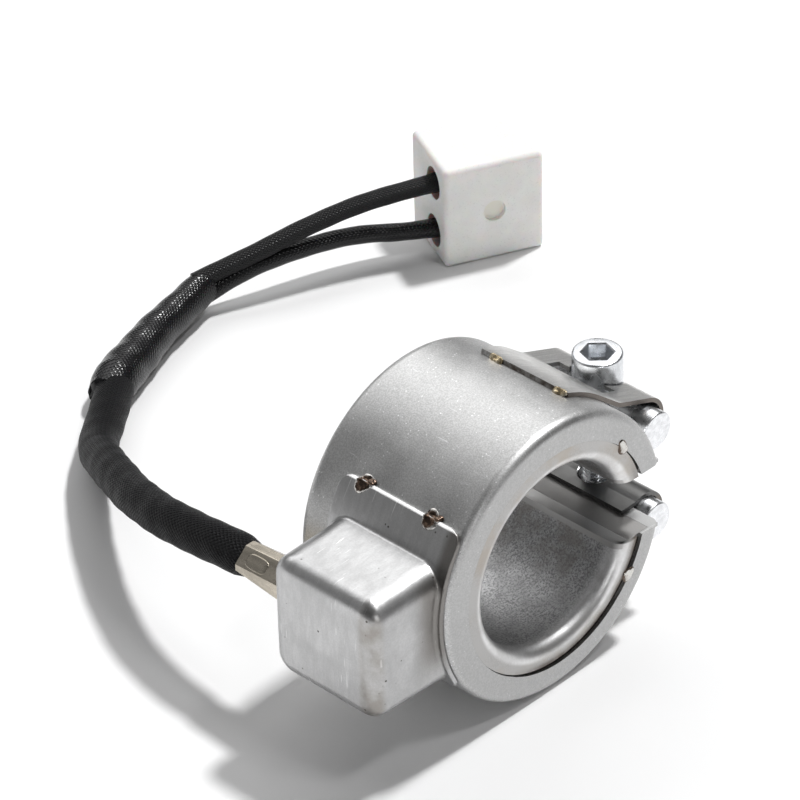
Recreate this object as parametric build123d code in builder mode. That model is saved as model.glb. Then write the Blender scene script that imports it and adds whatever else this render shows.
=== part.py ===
"""Clamp-on band heater with a drawn terminal cap, a braided cable and a ceramic plug.

The bore runs along Y, the clamp is on the +X side, the terminal cap on the -X side and Z is up.
The origin is the centre of the bore. All lengths are in millimetres, all angles in degrees.
"""
import os
from math import acos, atan2, cos, degrees, hypot, pi, radians, sin, sqrt, tan

from build123d import *

os.makedirs("parts", exist_ok=True)

# Band: an outer and an inner sheet channel round the heating element
shell_diameter = 60.0
bore_diameter = 38.5
band_width = 38.5
sheet = 0.8
shell_bend = 1.6
lip_bend = 1.4
seam_share = 0.451
seam_clearance = 0.02
seam_opening = 0.85
seam_open_angle = -35.0
gap = 14.2
fold_width = 2.4

# Element stack inside the band, from the bore outwards
mica = 0.7
ribbon = 0.3
layer_clearance = 0.05
blanket_end_clearance = 0.15
ribbon_margin = 1.2
ribbon_slit = 0.9
ribbon_leg = 1.6
ribbon_pitch_angle = 9.0
ribbon_pad_angle = 12.0

# Clamp: formed straps, barrel nuts and a socket head screw
strap_sheet = 0.9
strap_front = 12.2
strap_back = 13.0
strap_taper = 3.4
strap_weld_angle = 69.5
strap_dip_angle = 37.0
strap_dip_lift = 0.9
strap_dip_bend = 5.0
tail_length = 4.0
tail_slope = 15.0
tail_bend = 1.5
nut_diameter = 7.9
nut_length = 28.0
nut_edge = 0.4
nut_overhang = 2.4
nut_rise = 3.5
loop_clearance = 0.45
seat_clearance = 0.1
window_width = 14.6
window_lead = 0.8
window_clearance = 0.4
shank_slot = 7.4
shank_travel = 1.0
screw_diameter = 6.0
screw_tip = 0.85
head_diameter = 10.0
head_height = 6.4
head_edge = 0.5
socket_flats = 5.6
socket_turn = 14.0
socket_depth = 3.2
socket_edge = 0.25
tip_chamfer = 0.8
nut_hole_clearance = 0.3
thread_clearance = 0.08
head_clearance = 0.05

# Terminal cap: a drawn cover on a saddle flange
cap_rise = 16.0
cap_y = -3.1
cap_z = -1.7
cap_width = 27.4
cap_height = 26.4
cap_draft = 1.5
cap_corner = 4.5
cap_edge = 3.2
cap_root = 0.8
flange_top_angle = 142.5
flange_bottom_angle = 212.5
flange_front_y = -18.4
flange_back_y = 12.0
flange_corner = 3.0
flange_edge = 0.3
saddle_clearance = 0.05

# Terminals inside the cap
terminal_y = -4.0
terminal_z = -1.0
strip_width = 5.0
strip_sheet = 0.6
strip_gap = 7.0
bushing_length = 3.0
bushing_margin = 3.0
core_diameter = 1.6
core_spacing = 4.0
core_length = 12.0
barrel_wall = 0.55
barrel_length = 7.0
barrel_clearance = 0.05

# Weld beads
bead_radius = 1.3
seam_bead_radius = 1.5
seam_bead_height = 0.5
seam_bead_angles = (41.5, -36.0)
strap_bead_y = (5.8, -10.3)
cap_bead_y = (6.6, -10.4)

# Cable, its clip, the splice and the two plug leads
cable_diameter = 8.2
cable_neck = 6.2
cable_inset = 8.5
cable_start_y = 8.0
cable_grip = 0.25
clip_end_y = 24.0
clip_sheet = 0.7
clip_root_size = 10.6
clip_end_size = 7.9
clip_bevel = 2.2
clip_clearance = 0.05
clip_mark_width = 4.2
clip_mark_length = 5.5
clip_mark_height = 0.35
splice_diameter = 8.8
lead_diameter = 4.0
arc_share = 0.45

# Ceramic plug lying on the surface under the band
plug_length = 22.8
plug_depth = 19.6
plug_height = 24.0
plug_edge = 1.2
plug_corner_x = 90.5
plug_corner_y = 96.45
plug_turn = -25.0
lead_opening = 7.4
lead_opening_depth = 8.0
contact_inset = 6.6
contact_spacing = 12.0
contact_diameter = 5.4
contact_bore = 4.0
contact_clearance = 0.1
contact_mouth = 1.0
contact_stop = 2.0
crimp_length = 4.0
crimp_wall = 0.5
recess_diameter = 5.0
recess_depth = 0.8

# Places worked out from the sizes above
shell_radius = shell_diameter / 2
bore_radius = bore_diameter / 2
half_width = band_width / 2
half_gap = gap / 2
floor_z = -shell_radius
inside_half_width = half_width - sheet
nut_radius = nut_diameter / 2
nut_x = shell_radius + nut_overhang
nut_z = half_gap + nut_rise
head_z = nut_z + nut_radius + head_clearance
screw_length = head_z + nut_z + nut_radius + screw_tip
cap_reach = shell_radius + cap_rise
cable_x = cable_inset - cap_reach
loop_radius = nut_radius + loop_clearance + strap_sheet / 2
loop_z = nut_z + loop_clearance - seat_clearance
flange_radius = shell_radius + saddle_clearance + sheet
cable_points = [
    (cable_x, cable_start_y, terminal_z),
    (cable_x, 27.0, terminal_z),
    (-36.0, 46.3, -4.9),
    (-29.9, 64.6, -10.7),
    (-20.6, 82.4, -16.9),
    (-10.9, 97.6, -22.0),
    (0.2, 107.6, -24.9),
    (10.6, 114.2, -25.5),
]
splice_points = [
    (4.4, 110.9, -25.4),
    (17.8, 116.6, -25.5),
    (31.6, 121.0, -25.0),
    (45.2, 123.6, -24.2),
]
upper_lead_points = [
    (42.8, 124.2, -22.3),
    (55.8, 122.2, -21.3),
    (68.9, 119.0, -18.7),
    (79.6, 113.8, -15.8),
    (91.0, 105.3, -13.1),
]
lower_lead_points = [
    (43.4, 123.2, -26.3),
    (56.5, 124.0, -26.2),
    (70.4, 121.1, -26.4),
    (81.8, 116.4, -25.9),
    (91.2, 105.6, -24.7),
]


def on_circle(radius, angle, centre=(0.0, 0.0)):
    """Point at an angle on a circle in the X-Z plane."""
    return (centre[0] + radius * cos(radians(angle)), centre[1] + radius * sin(radians(angle)))


def tangent_angle(point, centre, radius, side):
    """Angle on a circle where the tangent from an outside point touches it."""
    dx = point[0] - centre[0]
    dz = point[1] - centre[1]
    return degrees(atan2(dz, dx)) + side * degrees(acos(radius / hypot(dx, dz)))


def gap_block(half_height):
    """Block that opens the band on its clamp side, down to a pair of parallel end walls."""
    with BuildPart() as block:
        with Locations((shell_diameter / 2, 0, 0)):
            Box(shell_diameter, 2 * band_width, 2 * half_height)
    return block.part


def pie(radius, start_angle, sweep_angle, half_length):
    """Slice of a cylinder about the bore axis, from one angle through another."""
    with BuildPart() as slice_of_band:
        with BuildSketch(Plane.XZ):
            with BuildLine():
                Line((0, 0), on_circle(radius, start_angle))
                CenterArc((0, 0), radius, start_angle, sweep_angle)
                Line(on_circle(radius, start_angle + sweep_angle), (0, 0))
            make_face()
        extrude(amount=half_length, both=True)
    return slice_of_band.part


def ring_layer(inner_radius, outer_radius, half_length, end_height):
    """One split ring of the element stack."""
    opening = gap_block(end_height)
    with BuildPart() as layer:
        with BuildSketch(Plane.XZ):
            Circle(outer_radius)
            Circle(inner_radius, mode=Mode.SUBTRACT)
        extrude(amount=half_length, both=True)
        add(opening, mode=Mode.SUBTRACT)
    return layer.part


def cord_tube(points, diameter, name):
    """Plain tube along straight runs joined by arcs as large as the runs allow."""
    corners = [Vector(*p) for p in points]
    runs = [b - a for a, b in zip(corners, corners[1:])]
    radii = []
    for before, after in zip(runs, runs[1:]):
        shorter = min(before.length, after.length)
        radii.append(arc_share * shorter / tan(radians(before.get_angle(after) / 2)))
    with BuildPart() as tube:
        with BuildLine() as route:
            FilletPolyline(*points, radius=radii)
        path = route.wires()[0]
        with BuildSketch(Plane(origin=path @ 0, z_dir=path % 0)):
            Circle(diameter / 2)
        sweep()
    expected = pi * diameter**2 / 4 * path.length
    print(name, "radii", [round(r, 1) for r in radii], "length", round(path.length, 1),
          "volume ratio", round(tube.part.volume / expected, 4))
    return tube.part


# The band's full round, which beads and the cap are trimmed to
with BuildPart() as band_core:
    with BuildSketch(Plane.XZ):
        Circle(shell_radius)
    extrude(amount=band_width, both=True)

band_gap = gap_block(half_gap)

# Outer shell: channel with flanges turned in to the seam, ends folded over at the gap
outer_wall = shell_radius - sheet / 2
flange_y = half_width - sheet / 2
seam_radius = bore_radius + seam_share * (shell_radius - bore_radius)
wall_at_gap = sqrt(outer_wall**2 - half_gap**2)
bushing_height = core_spacing + 2 * (core_diameter / 2 + barrel_wall) + bushing_margin
bushing_width = strip_width + bushing_margin

with BuildPart() as outer_shell:
    with BuildSketch():
        with BuildLine():
            FilletPolyline((seam_radius - sheet, -flange_y), (outer_wall, -flange_y),
                           (outer_wall, flange_y), (seam_radius - sheet, flange_y), radius=shell_bend)
        trace(line_width=sheet)
    revolve(axis=Axis.Y)
    with BuildSketch(Plane.XZ):
        Circle(seam_radius + seam_clearance)
        with Locations(on_circle(seam_opening, seam_open_angle)):
            Circle(seam_radius)
    extrude(amount=band_width, both=True, mode=Mode.SUBTRACT)
    add(band_gap, mode=Mode.SUBTRACT)
    for side in (1, -1):
        with Locations((wall_at_gap - fold_width / 2, 0, side * (half_gap + sheet / 2))):
            Box(fold_width, 2 * flange_y, sheet)
    with Locations((-outer_wall, terminal_y, terminal_z)):
        Box(4 * sheet, bushing_width, bushing_height, mode=Mode.SUBTRACT)

# Inner shell: bore wall with a rounded lip, flanges turned out to the seam
inner_wall = bore_radius + sheet / 2
bore_at_gap = sqrt(inner_wall**2 - half_gap**2)

with BuildPart() as inner_shell:
    with BuildSketch():
        with BuildLine():
            FilletPolyline((seam_radius, -flange_y), (inner_wall, -flange_y),
                           (inner_wall, flange_y), (seam_radius, flange_y), radius=lip_bend)
        trace(line_width=sheet)
    revolve(axis=Axis.Y)
    add(band_gap, mode=Mode.SUBTRACT)
    for side in (1, -1):
        with Locations((bore_at_gap + fold_width / 2, 0, side * (half_gap + sheet / 2))):
            Box(fold_width, 2 * flange_y, sheet)

# End plates that close the band between the folds, one at each side of the gap
plate_from = bore_at_gap + fold_width + layer_clearance
plate_to = wall_at_gap - fold_width - layer_clearance
plate_z = half_gap + sheet / 2
end_plates = {}
for name, side in (("upper_end_plate", 1), ("lower_end_plate", -1)):
    with BuildPart() as end_plate:
        with Locations(((plate_from + plate_to) / 2, 0, side * plate_z)):
            Box(plate_to - plate_from, 2 * (inside_half_width - layer_clearance), sheet)
    end_plates[name] = end_plate.part

# Element stack: mica, resistance ribbon, mica, fibre blanket
stack_end = plate_z + sheet / 2 + layer_clearance
inner_mica_radius = bore_radius + sheet + layer_clearance
ribbon_radius = inner_mica_radius + mica + layer_clearance
outer_mica_radius = ribbon_radius + ribbon + layer_clearance
blanket_radius = outer_mica_radius + mica + layer_clearance
blanket_outer_radius = shell_radius - sheet - layer_clearance
blanket_half_width = inside_half_width - blanket_end_clearance
mica_half_width = inside_half_width - lip_bend
ribbon_half_width = mica_half_width - ribbon_margin

with BuildPart() as terminal_pocket:
    with Locations((-blanket_outer_radius, terminal_y, terminal_z)):
        Box(2 * (blanket_outer_radius - ribbon_radius - ribbon / 2), bushing_width, bushing_height)

inner_mica_ring = ring_layer(inner_mica_radius, inner_mica_radius + mica, mica_half_width, stack_end)
outer_mica_ring = ring_layer(outer_mica_radius, outer_mica_radius + mica, mica_half_width, stack_end)
blanket_ring = ring_layer(blanket_radius, blanket_outer_radius, blanket_half_width, stack_end)

with BuildPart() as inner_mica:
    add(inner_mica_ring)

with BuildPart() as outer_mica:
    add(outer_mica_ring)
    add(terminal_pocket.part, mode=Mode.SUBTRACT)

with BuildPart() as fibre_blanket:
    add(blanket_ring)
    fillet(fibre_blanket.faces().filter_by(GeomType.CYLINDER).sort_by(Face.area)[-1].edges()
           .filter_by(GeomType.CIRCLE), shell_bend)
    add(terminal_pocket.part, mode=Mode.SUBTRACT)

# Resistance ribbon: each half goes out along one edge and back along the other
ribbon_end_angle = degrees(atan2(stack_end + ribbon_margin, ribbon_radius))
slit_count = int((180 - ribbon_pad_angle - ribbon_end_angle) / ribbon_pitch_angle)
slit_end_angle = 180 - ribbon_pad_angle - (slit_count - 1) * ribbon_pitch_angle

ribbon_ring = ring_layer(ribbon_radius, ribbon_radius + ribbon, ribbon_half_width, stack_end + ribbon_margin)
ribbon_middle = pie(shell_radius, slit_end_angle, 360 - 2 * slit_end_angle, ribbon_slit / 2)

with BuildPart() as heating_ribbon:
    add(ribbon_ring)
    for half in (1, -1):
        for number in range(slit_count):
            angle = half * (180 - ribbon_pad_angle - number * ribbon_pitch_angle)
            shift = ribbon_leg if number % 2 else -ribbon_leg
            x, z = on_circle(ribbon_radius, angle)
            for track in (1, -1):
                with Locations(Location((x, track * (ribbon_half_width / 2 + shift), z), (0, -angle, 0))):
                    Box(4 * ribbon, ribbon_half_width, ribbon_slit, mode=Mode.SUBTRACT)
    add(ribbon_middle, mode=Mode.SUBTRACT)
    with Locations((-ribbon_radius, ribbon_half_width / 2, 0)):
        Box(4 * ribbon, ribbon_half_width, ribbon_slit, mode=Mode.SUBTRACT)

# Terminal strips, bushing, crimp barrels and cable cores
barrel_radius = core_diameter / 2 + barrel_clearance + barrel_wall
strip_z = core_spacing / 2 + barrel_radius + barrel_clearance + strip_sheet / 2
strip_root = ribbon_radius + ribbon + layer_clearance
strip_reach = cap_reach - strip_gap
core_heights = [terminal_z + side * core_spacing / 2 for side in (1, -1)]
strip_heights = [terminal_z + side * strip_z for side in (1, -1)]

with BuildPart() as terminal_strips:
    with Locations(*[(-(strip_root + strip_reach) / 2, terminal_y, z) for z in strip_heights]):
        Box(strip_reach - strip_root, strip_width, strip_sheet)

with BuildPart() as terminal_bushing:
    with Locations((-shell_radius, terminal_y, terminal_z)):
        Box(bushing_length, bushing_width - 2 * layer_clearance, bushing_height - 2 * layer_clearance)
    with Locations(*[(-shell_radius, terminal_y, z) for z in strip_heights]):
        Box(2 * bushing_length, strip_width + 2 * barrel_clearance, strip_sheet + 2 * barrel_clearance,
            mode=Mode.SUBTRACT)

with BuildPart() as crimp_barrels:
    with BuildSketch(Plane.XZ.offset(-(terminal_y - barrel_length / 2))):
        with Locations(*[(cable_x, z) for z in core_heights]):
            Circle(barrel_radius)
            Circle(core_diameter / 2 + barrel_clearance, mode=Mode.SUBTRACT)
    extrude(amount=-barrel_length)

with BuildPart() as cable_cores:
    with BuildSketch(Plane.XZ.offset(-cable_start_y)):
        with Locations(*[(cable_x, z) for z in core_heights]):
            Circle(core_diameter / 2)
    extrude(amount=core_length)

# Terminal cap: saddle flange and drawn cover, hollow inside
face_plane = Plane(origin=(-cap_reach, cap_y, cap_z), x_dir=(0, 1, 0), z_dir=(1, 0, 0))
draw_depth = cap_reach - shell_radius * cos(radians(180 - flange_top_angle))

with BuildPart() as cap_cavity:
    with BuildSketch(face_plane.offset(sheet)):
        RectangleRounded(cap_width - 2 * sheet, cap_height - 2 * sheet, cap_corner - sheet)
    extrude(amount=draw_depth, taper=-cap_draft)
    fillet(cap_cavity.faces().sort_by(Axis.X)[0].edges(), cap_edge - sheet)

with BuildPart() as terminal_cap:
    with BuildSketch(Plane.XZ.offset(-flange_front_y)):
        with BuildLine():
            CenterArc((0, 0), flange_radius, flange_top_angle, flange_bottom_angle - flange_top_angle)
            CenterArc((0, 0), flange_radius - sheet, flange_top_angle, flange_bottom_angle - flange_top_angle)
            for edge_angle in (flange_top_angle, flange_bottom_angle):
                Line(on_circle(flange_radius - sheet, edge_angle), on_circle(flange_radius, edge_angle))
        make_face()
    extrude(amount=-(flange_back_y - flange_front_y))
    fillet(terminal_cap.edges().filter_by(lambda e: abs(e.length - sheet) < 0.001), flange_corner)
    fillet(terminal_cap.faces().filter_by(GeomType.CYLINDER).sort_by(Face.area)[-1].edges(), flange_edge)
    with BuildSketch(face_plane):
        RectangleRounded(cap_width, cap_height, cap_corner)
    extrude(amount=draw_depth, taper=-cap_draft)
    with BuildSketch(Plane.XZ):
        Circle(flange_radius - sheet)
    extrude(amount=band_width, both=True, mode=Mode.SUBTRACT)
    fillet(terminal_cap.faces().sort_by(Axis.X)[0].edges(), cap_edge)
    cap_foot = terminal_cap.faces().filter_by(lambda f: len(f.inner_wires()) == 1)[0].inner_wires()[0]
    fillet(cap_foot.edges(), cap_root)
    add(cap_cavity.part, mode=Mode.SUBTRACT)
    with BuildSketch(Plane.XZ):
        with Locations((cable_x, terminal_z)):
            Circle(cable_neck / 2 + cable_grip)
    extrude(amount=-band_width, mode=Mode.SUBTRACT)

# Cable clip: folded sheet sleeve that narrows on to the cable
wall_lean = tan(radians(cap_draft)) * (cable_inset + clip_root_size / 2)
clip_start_y = cap_y + cap_width / 2 + wall_lean + clip_clearance
clip_middle = ((clip_start_y + clip_end_y) / 2, (clip_root_size + clip_end_size) / 2)


def clip_body(inset, overrun):
    """Bevelled sleeve body, inset by a wall and lengthened at both ends by an overrun."""
    with BuildPart() as body:
        for y, size in ((clip_start_y - overrun, clip_root_size), (clip_end_y + overrun, clip_end_size)):
            with BuildSketch(Plane.XZ.offset(-y)):
                with Locations((cable_x, terminal_z)):
                    box_section = Rectangle(size - 2 * inset, size - 2 * inset)
                chamfer(box_section.vertices(), clip_bevel - inset / 2)
        loft()
    return body.part


clip_outside = clip_body(0, 0)
clip_inside = clip_body(clip_sheet, layer_clearance)

with BuildPart() as cable_clip:
    add(clip_outside)
    add(clip_inside, mode=Mode.SUBTRACT)
    with Locations((cable_x - clip_middle[1] / 2, clip_middle[0], terminal_z)):
        Box(2 * clip_mark_height, clip_mark_length, clip_mark_width)

# Clamp straps: a leg on the shell, a dip, a loop round the nut and a tail on the end wall
leg_radius = shell_radius + saddle_clearance + strap_sheet / 2
loop_centre = (nut_x, loop_z)
dip = on_circle(leg_radius + strap_dip_lift, strap_dip_angle)
dip_corner = (dip[0], strap_back)
weld_x = on_circle(leg_radius, strap_weld_angle)[0] - strap_sheet
leave_angle = tangent_angle(dip, (0, 0), leg_radius, 1)
enter_angle = tangent_angle(dip, loop_centre, loop_radius, -1)
tail_z = half_gap - saddle_clearance - strap_sheet / 2
tail_angle = -90 - tail_slope
loop_end = on_circle(loop_radius, tail_angle, loop_centre)
tail_x = loop_end[0] - (tail_z - loop_end[1]) / tan(radians(tail_slope))
window_start_x = dip[0] + window_lead
window_end_x = nut_x - screw_diameter / 2

with BuildPart() as upper_strap:
    with BuildSketch(Plane.XZ.offset(strap_front)):
        with BuildLine():
            CenterArc((0, 0), leg_radius, strap_weld_angle, leave_angle - strap_weld_angle)
            FilletPolyline(on_circle(leg_radius, leave_angle), dip,
                           on_circle(loop_radius, enter_angle, loop_centre), radius=strap_dip_bend)
            CenterArc(loop_centre, loop_radius, enter_angle, tail_angle - enter_angle)
            FilletPolyline(loop_end, (tail_x, tail_z), (tail_x - tail_length, tail_z), radius=tail_bend)
        trace(line_width=strap_sheet)
    extrude(amount=-(strap_front + strap_back))
    with BuildSketch():
        with BuildLine():
            Polyline((weld_x, strap_back - strap_taper), dip_corner, (dip[0], strap_back + strap_sheet),
                     (weld_x, strap_back + strap_sheet), close=True)
        make_face()
    extrude(amount=shell_diameter, mode=Mode.SUBTRACT)
    with BuildSketch(Plane.XY.offset(head_z - window_clearance)):
        with Locations(((window_start_x + window_end_x) / 2, 0)):
            Rectangle(window_end_x - window_start_x, window_width)
        with Locations((nut_x, 0)):
            Circle(head_diameter / 2 + window_clearance)
    extrude(amount=shell_radius, mode=Mode.SUBTRACT)
    with BuildSketch(Plane.XY.offset(loop_z)):
        with Locations((nut_x, 0)):
            SlotCenterToCenter(shank_travel, shank_slot)
    extrude(amount=-2 * loop_radius, mode=Mode.SUBTRACT)

with BuildPart() as lower_strap:
    mirror(upper_strap.part, about=Plane.XY)

# Barrel nuts: cross-drilled pins, the upper one clear of the screw, the lower one threaded on it
nuts = {}
for name, side, hole_diameter in (("upper_barrel_nut", 1, screw_diameter + 2 * nut_hole_clearance),
                                  ("lower_barrel_nut", -1, screw_diameter + 2 * thread_clearance)):
    with BuildPart() as barrel_nut:
        with BuildSketch(Plane.XZ):
            with Locations((nut_x, side * nut_z)):
                Circle(nut_radius)
        extrude(amount=nut_length / 2, both=True)
        chamfer(barrel_nut.edges().filter_by(GeomType.CIRCLE), nut_edge)
        with BuildSketch(Plane.XY.offset(side * nut_z)):
            with Locations((nut_x, 0)):
                Circle(hole_diameter / 2)
        extrude(amount=nut_diameter, both=True, mode=Mode.SUBTRACT)
    nuts[name] = barrel_nut.part

# Socket head screw
with BuildPart() as clamp_screw:
    with BuildSketch(Plane.XY.offset(head_z)):
        with Locations((nut_x, 0)):
            Circle(head_diameter / 2)
    extrude(amount=head_height)
    fillet(clamp_screw.edges().filter_by(GeomType.CIRCLE).sort_by(Axis.Z)[-1], head_edge)
    with BuildSketch(Plane.XY.offset(head_z + head_height)):
        with Locations((nut_x, 0)):
            RegularPolygon(socket_flats / 2, 6, major_radius=False, rotation=socket_turn)
    extrude(amount=-socket_depth, mode=Mode.SUBTRACT)
    chamfer(clamp_screw.edges().filter_by(GeomType.LINE).group_by(Axis.Z)[-1], socket_edge)
    with BuildSketch(Plane.XY.offset(head_z)):
        with Locations((nut_x, 0)):
            Circle(screw_diameter / 2)
    extrude(amount=-screw_length)
    chamfer(clamp_screw.edges().filter_by(GeomType.CIRCLE).sort_by(Axis.Z)[0], tip_chamfer)

# Weld beads: on the strap edges, on the cap flange edges and across the seam
def edge_beads(sheet_radius, edge_angle, far_angle, bead_angles, bead_y):
    """Beads on the edges of a sheet that lies on the shell between two angles."""
    covered = pie(sheet_radius, edge_angle, far_angle - edge_angle, band_width)
    with BuildPart() as beads:
        for angle in bead_angles:
            x, z = on_circle(sheet_radius - sheet / 2, angle)
            with Locations(*[(x, y, z) for y in bead_y]):
                Sphere(bead_radius)
        add(band_core.part, mode=Mode.SUBTRACT)
        add(covered, mode=Mode.SUBTRACT)
    return beads.part


strap_outer_radius = leg_radius + strap_sheet / 2

upper_beads = edge_beads(strap_outer_radius, strap_weld_angle, leave_angle, [strap_weld_angle], strap_bead_y)
cap_beads = edge_beads(flange_radius, flange_top_angle, flange_bottom_angle,
                       [flange_top_angle, flange_bottom_angle], cap_bead_y)

with BuildPart() as strap_welds:
    add(upper_beads)
    mirror(about=Plane.XY)

with BuildPart() as cap_welds:
    add(cap_beads)

dome_radius = (seam_bead_radius**2 + seam_bead_height**2) / (2 * seam_bead_height)
dome_y = half_width + seam_bead_height - dome_radius

with BuildPart() as seam_welds:
    for angle in seam_bead_angles:
        x, z = on_circle(seam_radius, angle)
        for face in (1, -1):
            with Locations((x, face * dome_y, z)):
                Sphere(dome_radius)
    Box(2 * shell_diameter, band_width, 2 * shell_diameter, mode=Mode.SUBTRACT)

# Plug: ceramic block with two stepped holes and a shallow recess, socket contacts inside
plug_plane = Plane(origin=(plug_corner_x, plug_corner_y, floor_z),
                   x_dir=(cos(radians(plug_turn)), sin(radians(plug_turn)), 0), z_dir=(0, 0, 1))
lead_face = Plane(origin=plug_plane.from_local_coords((0, contact_inset, plug_height / 2)),
                  x_dir=plug_plane.y_dir, z_dir=plug_plane.x_dir)
recess_face = Plane(origin=plug_plane.from_local_coords((plug_length / 2, 0, plug_height / 2)),
                    x_dir=plug_plane.x_dir, z_dir=-plug_plane.y_dir)
contact_places = [(0, contact_spacing / 2), (0, -contact_spacing / 2)]

with BuildPart() as plug_body:
    with BuildSketch(plug_plane):
        with Locations((plug_length / 2, plug_depth / 2)):
            Rectangle(plug_length, plug_depth)
    extrude(amount=plug_height)
    fillet(plug_body.edges(), plug_edge)
    for diameter, depth in ((lead_opening, lead_opening_depth),
                            (contact_diameter + 2 * contact_clearance, plug_length - contact_mouth),
                            (contact_bore, plug_length)):
        with BuildSketch(lead_face):
            with Locations(*contact_places):
                Circle(diameter / 2)
        extrude(amount=depth, mode=Mode.SUBTRACT)
    with BuildSketch(recess_face):
        Circle(recess_diameter / 2)
    extrude(amount=-recess_depth, mode=Mode.SUBTRACT)

contact_length = plug_length - contact_mouth - contact_clearance - lead_opening_depth

with BuildPart() as plug_contacts:
    with BuildSketch(lead_face.offset(lead_opening_depth)):
        with Locations(*contact_places):
            Circle(contact_diameter / 2)
    extrude(amount=contact_length)
    with BuildSketch(lead_face.offset(lead_opening_depth + contact_stop)):
        with Locations(*contact_places):
            Circle(contact_bore / 2)
    extrude(amount=contact_length, mode=Mode.SUBTRACT)
    with BuildSketch(lead_face.offset(lead_opening_depth)):
        with Locations(*contact_places):
            Circle(lead_diameter / 2 + contact_clearance + crimp_wall)
            Circle(lead_diameter / 2 + contact_clearance, mode=Mode.SUBTRACT)
    extrude(amount=-crimp_length)

# Cable, splice and leads, each ending where the next piece holds it
lead_ends = [tuple(lead_face.from_local_coords((x, y, lead_opening_depth))) for x, y in contact_places]
cable_tube = cord_tube(cable_points, cable_diameter, "cable sleeve")

with BuildPart() as neck_trim:
    with BuildSketch(Plane.XZ.offset(-(clip_end_y + clip_clearance))):
        with Locations((cable_x, terminal_z)):
            Circle(cable_diameter)
            Circle(cable_neck / 2, mode=Mode.SUBTRACT)
    extrude(amount=clip_end_y)

with BuildPart() as cable_sleeve:
    add(cable_tube)
    add(neck_trim.part, mode=Mode.SUBTRACT)

cords = {
    "splice_sleeve": cord_tube(splice_points, splice_diameter, "splice sleeve"),
    "upper_lead": cord_tube(upper_lead_points + [lead_ends[0]], lead_diameter, "upper lead"),
    "lower_lead": cord_tube(lower_lead_points + [lead_ends[1]], lead_diameter, "lower lead"),
}

# Every piece under its own name, one file each
pieces = {
    "outer_shell": outer_shell.part,
    "inner_shell": inner_shell.part,
    "inner_mica": inner_mica.part,
    "heating_ribbon": heating_ribbon.part,
    "outer_mica": outer_mica.part,
    "fibre_blanket": fibre_blanket.part,
    "terminal_strips": terminal_strips.part,
    "terminal_bushing": terminal_bushing.part,
    "crimp_barrels": crimp_barrels.part,
    "cable_cores": cable_cores.part,
    "terminal_cap": terminal_cap.part,
    "cable_clip": cable_clip.part,
    "upper_strap": upper_strap.part,
    "lower_strap": lower_strap.part,
    "clamp_screw": clamp_screw.part,
    "strap_welds": strap_welds.part,
    "cap_welds": cap_welds.part,
    "seam_welds": seam_welds.part,
    "cable_sleeve": cable_sleeve.part,
    "plug_body": plug_body.part,
    "plug_contacts": plug_contacts.part,
    **end_plates,
    **nuts,
    **cords,
}
for name, piece in pieces.items():
    piece.label = name
    export_step(piece, f"parts/{name}.step")
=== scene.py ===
"""Looks of the clamp-on band heater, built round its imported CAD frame.

The bore runs along Y, the clamp is on the +X side, the terminal cap on the -X side and Z is up.
Sizes in the fields are millimetres, angles are degrees and noise scales are features in a metre.
Meshes are metres.
"""

import logging
from dataclasses import dataclass
from enum import Enum
from math import cos, pi, radians, sin

import bmesh
import bpy
import numpy as np
from mathutils import Matrix, Vector

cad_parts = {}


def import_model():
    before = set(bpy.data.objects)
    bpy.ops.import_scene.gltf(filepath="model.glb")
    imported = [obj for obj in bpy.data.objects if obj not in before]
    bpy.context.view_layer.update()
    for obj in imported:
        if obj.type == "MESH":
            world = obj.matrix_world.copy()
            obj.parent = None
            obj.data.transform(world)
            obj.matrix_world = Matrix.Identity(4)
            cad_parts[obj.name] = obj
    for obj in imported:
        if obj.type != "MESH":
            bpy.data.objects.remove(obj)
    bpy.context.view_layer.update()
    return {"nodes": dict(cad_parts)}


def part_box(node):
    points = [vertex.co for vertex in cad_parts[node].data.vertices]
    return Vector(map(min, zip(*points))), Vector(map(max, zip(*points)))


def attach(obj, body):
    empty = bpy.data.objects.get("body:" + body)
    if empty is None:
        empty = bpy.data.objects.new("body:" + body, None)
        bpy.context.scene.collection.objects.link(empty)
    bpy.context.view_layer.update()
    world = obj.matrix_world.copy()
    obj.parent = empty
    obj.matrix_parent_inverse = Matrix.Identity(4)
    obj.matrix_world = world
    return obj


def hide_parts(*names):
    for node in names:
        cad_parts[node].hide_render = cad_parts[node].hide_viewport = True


LOG = logging.getLogger("band_heater")
MM = 0.001
GAP_HALF = 8.2
GAP_DEPTH = 18.9
GAP_X = (14.0, 15.0)
BORE_RADIUS = 19.25
SEAM_RADIUS = 24.1
SHELL_RADIUS = 30.0
LEVEL = ((0.0, 1.0), (1.0, 1.0))
Array = np.ndarray
Colour = tuple[float, float, float]
Point = tuple[float, float, float]
Pair = tuple[float, float]
Knots = tuple[Pair, ...]
Nodes = dict[str, bpy.types.Object]
Socket = bpy.types.NodeSocket


class Body(Enum):
    """CAD bodies that pieces ride on."""

    BAND = "band"
    SCREW = "screw"


class Place(Enum):
    """Coordinates that a pattern follows."""

    OBJECT = "Object"
    UV = "UV"
    GENERATED = "Generated"


class Sheen(Enum):
    """How much varnish a braided sleeve has taken up."""

    DRY = 0.0
    DAMP = 0.45
    SOAKED = 1.0


# Shader writing


def shade(colour: Colour, share: float) -> Colour:
    """A colour made darker or paler."""
    return tuple(c * share for c in colour)


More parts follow.
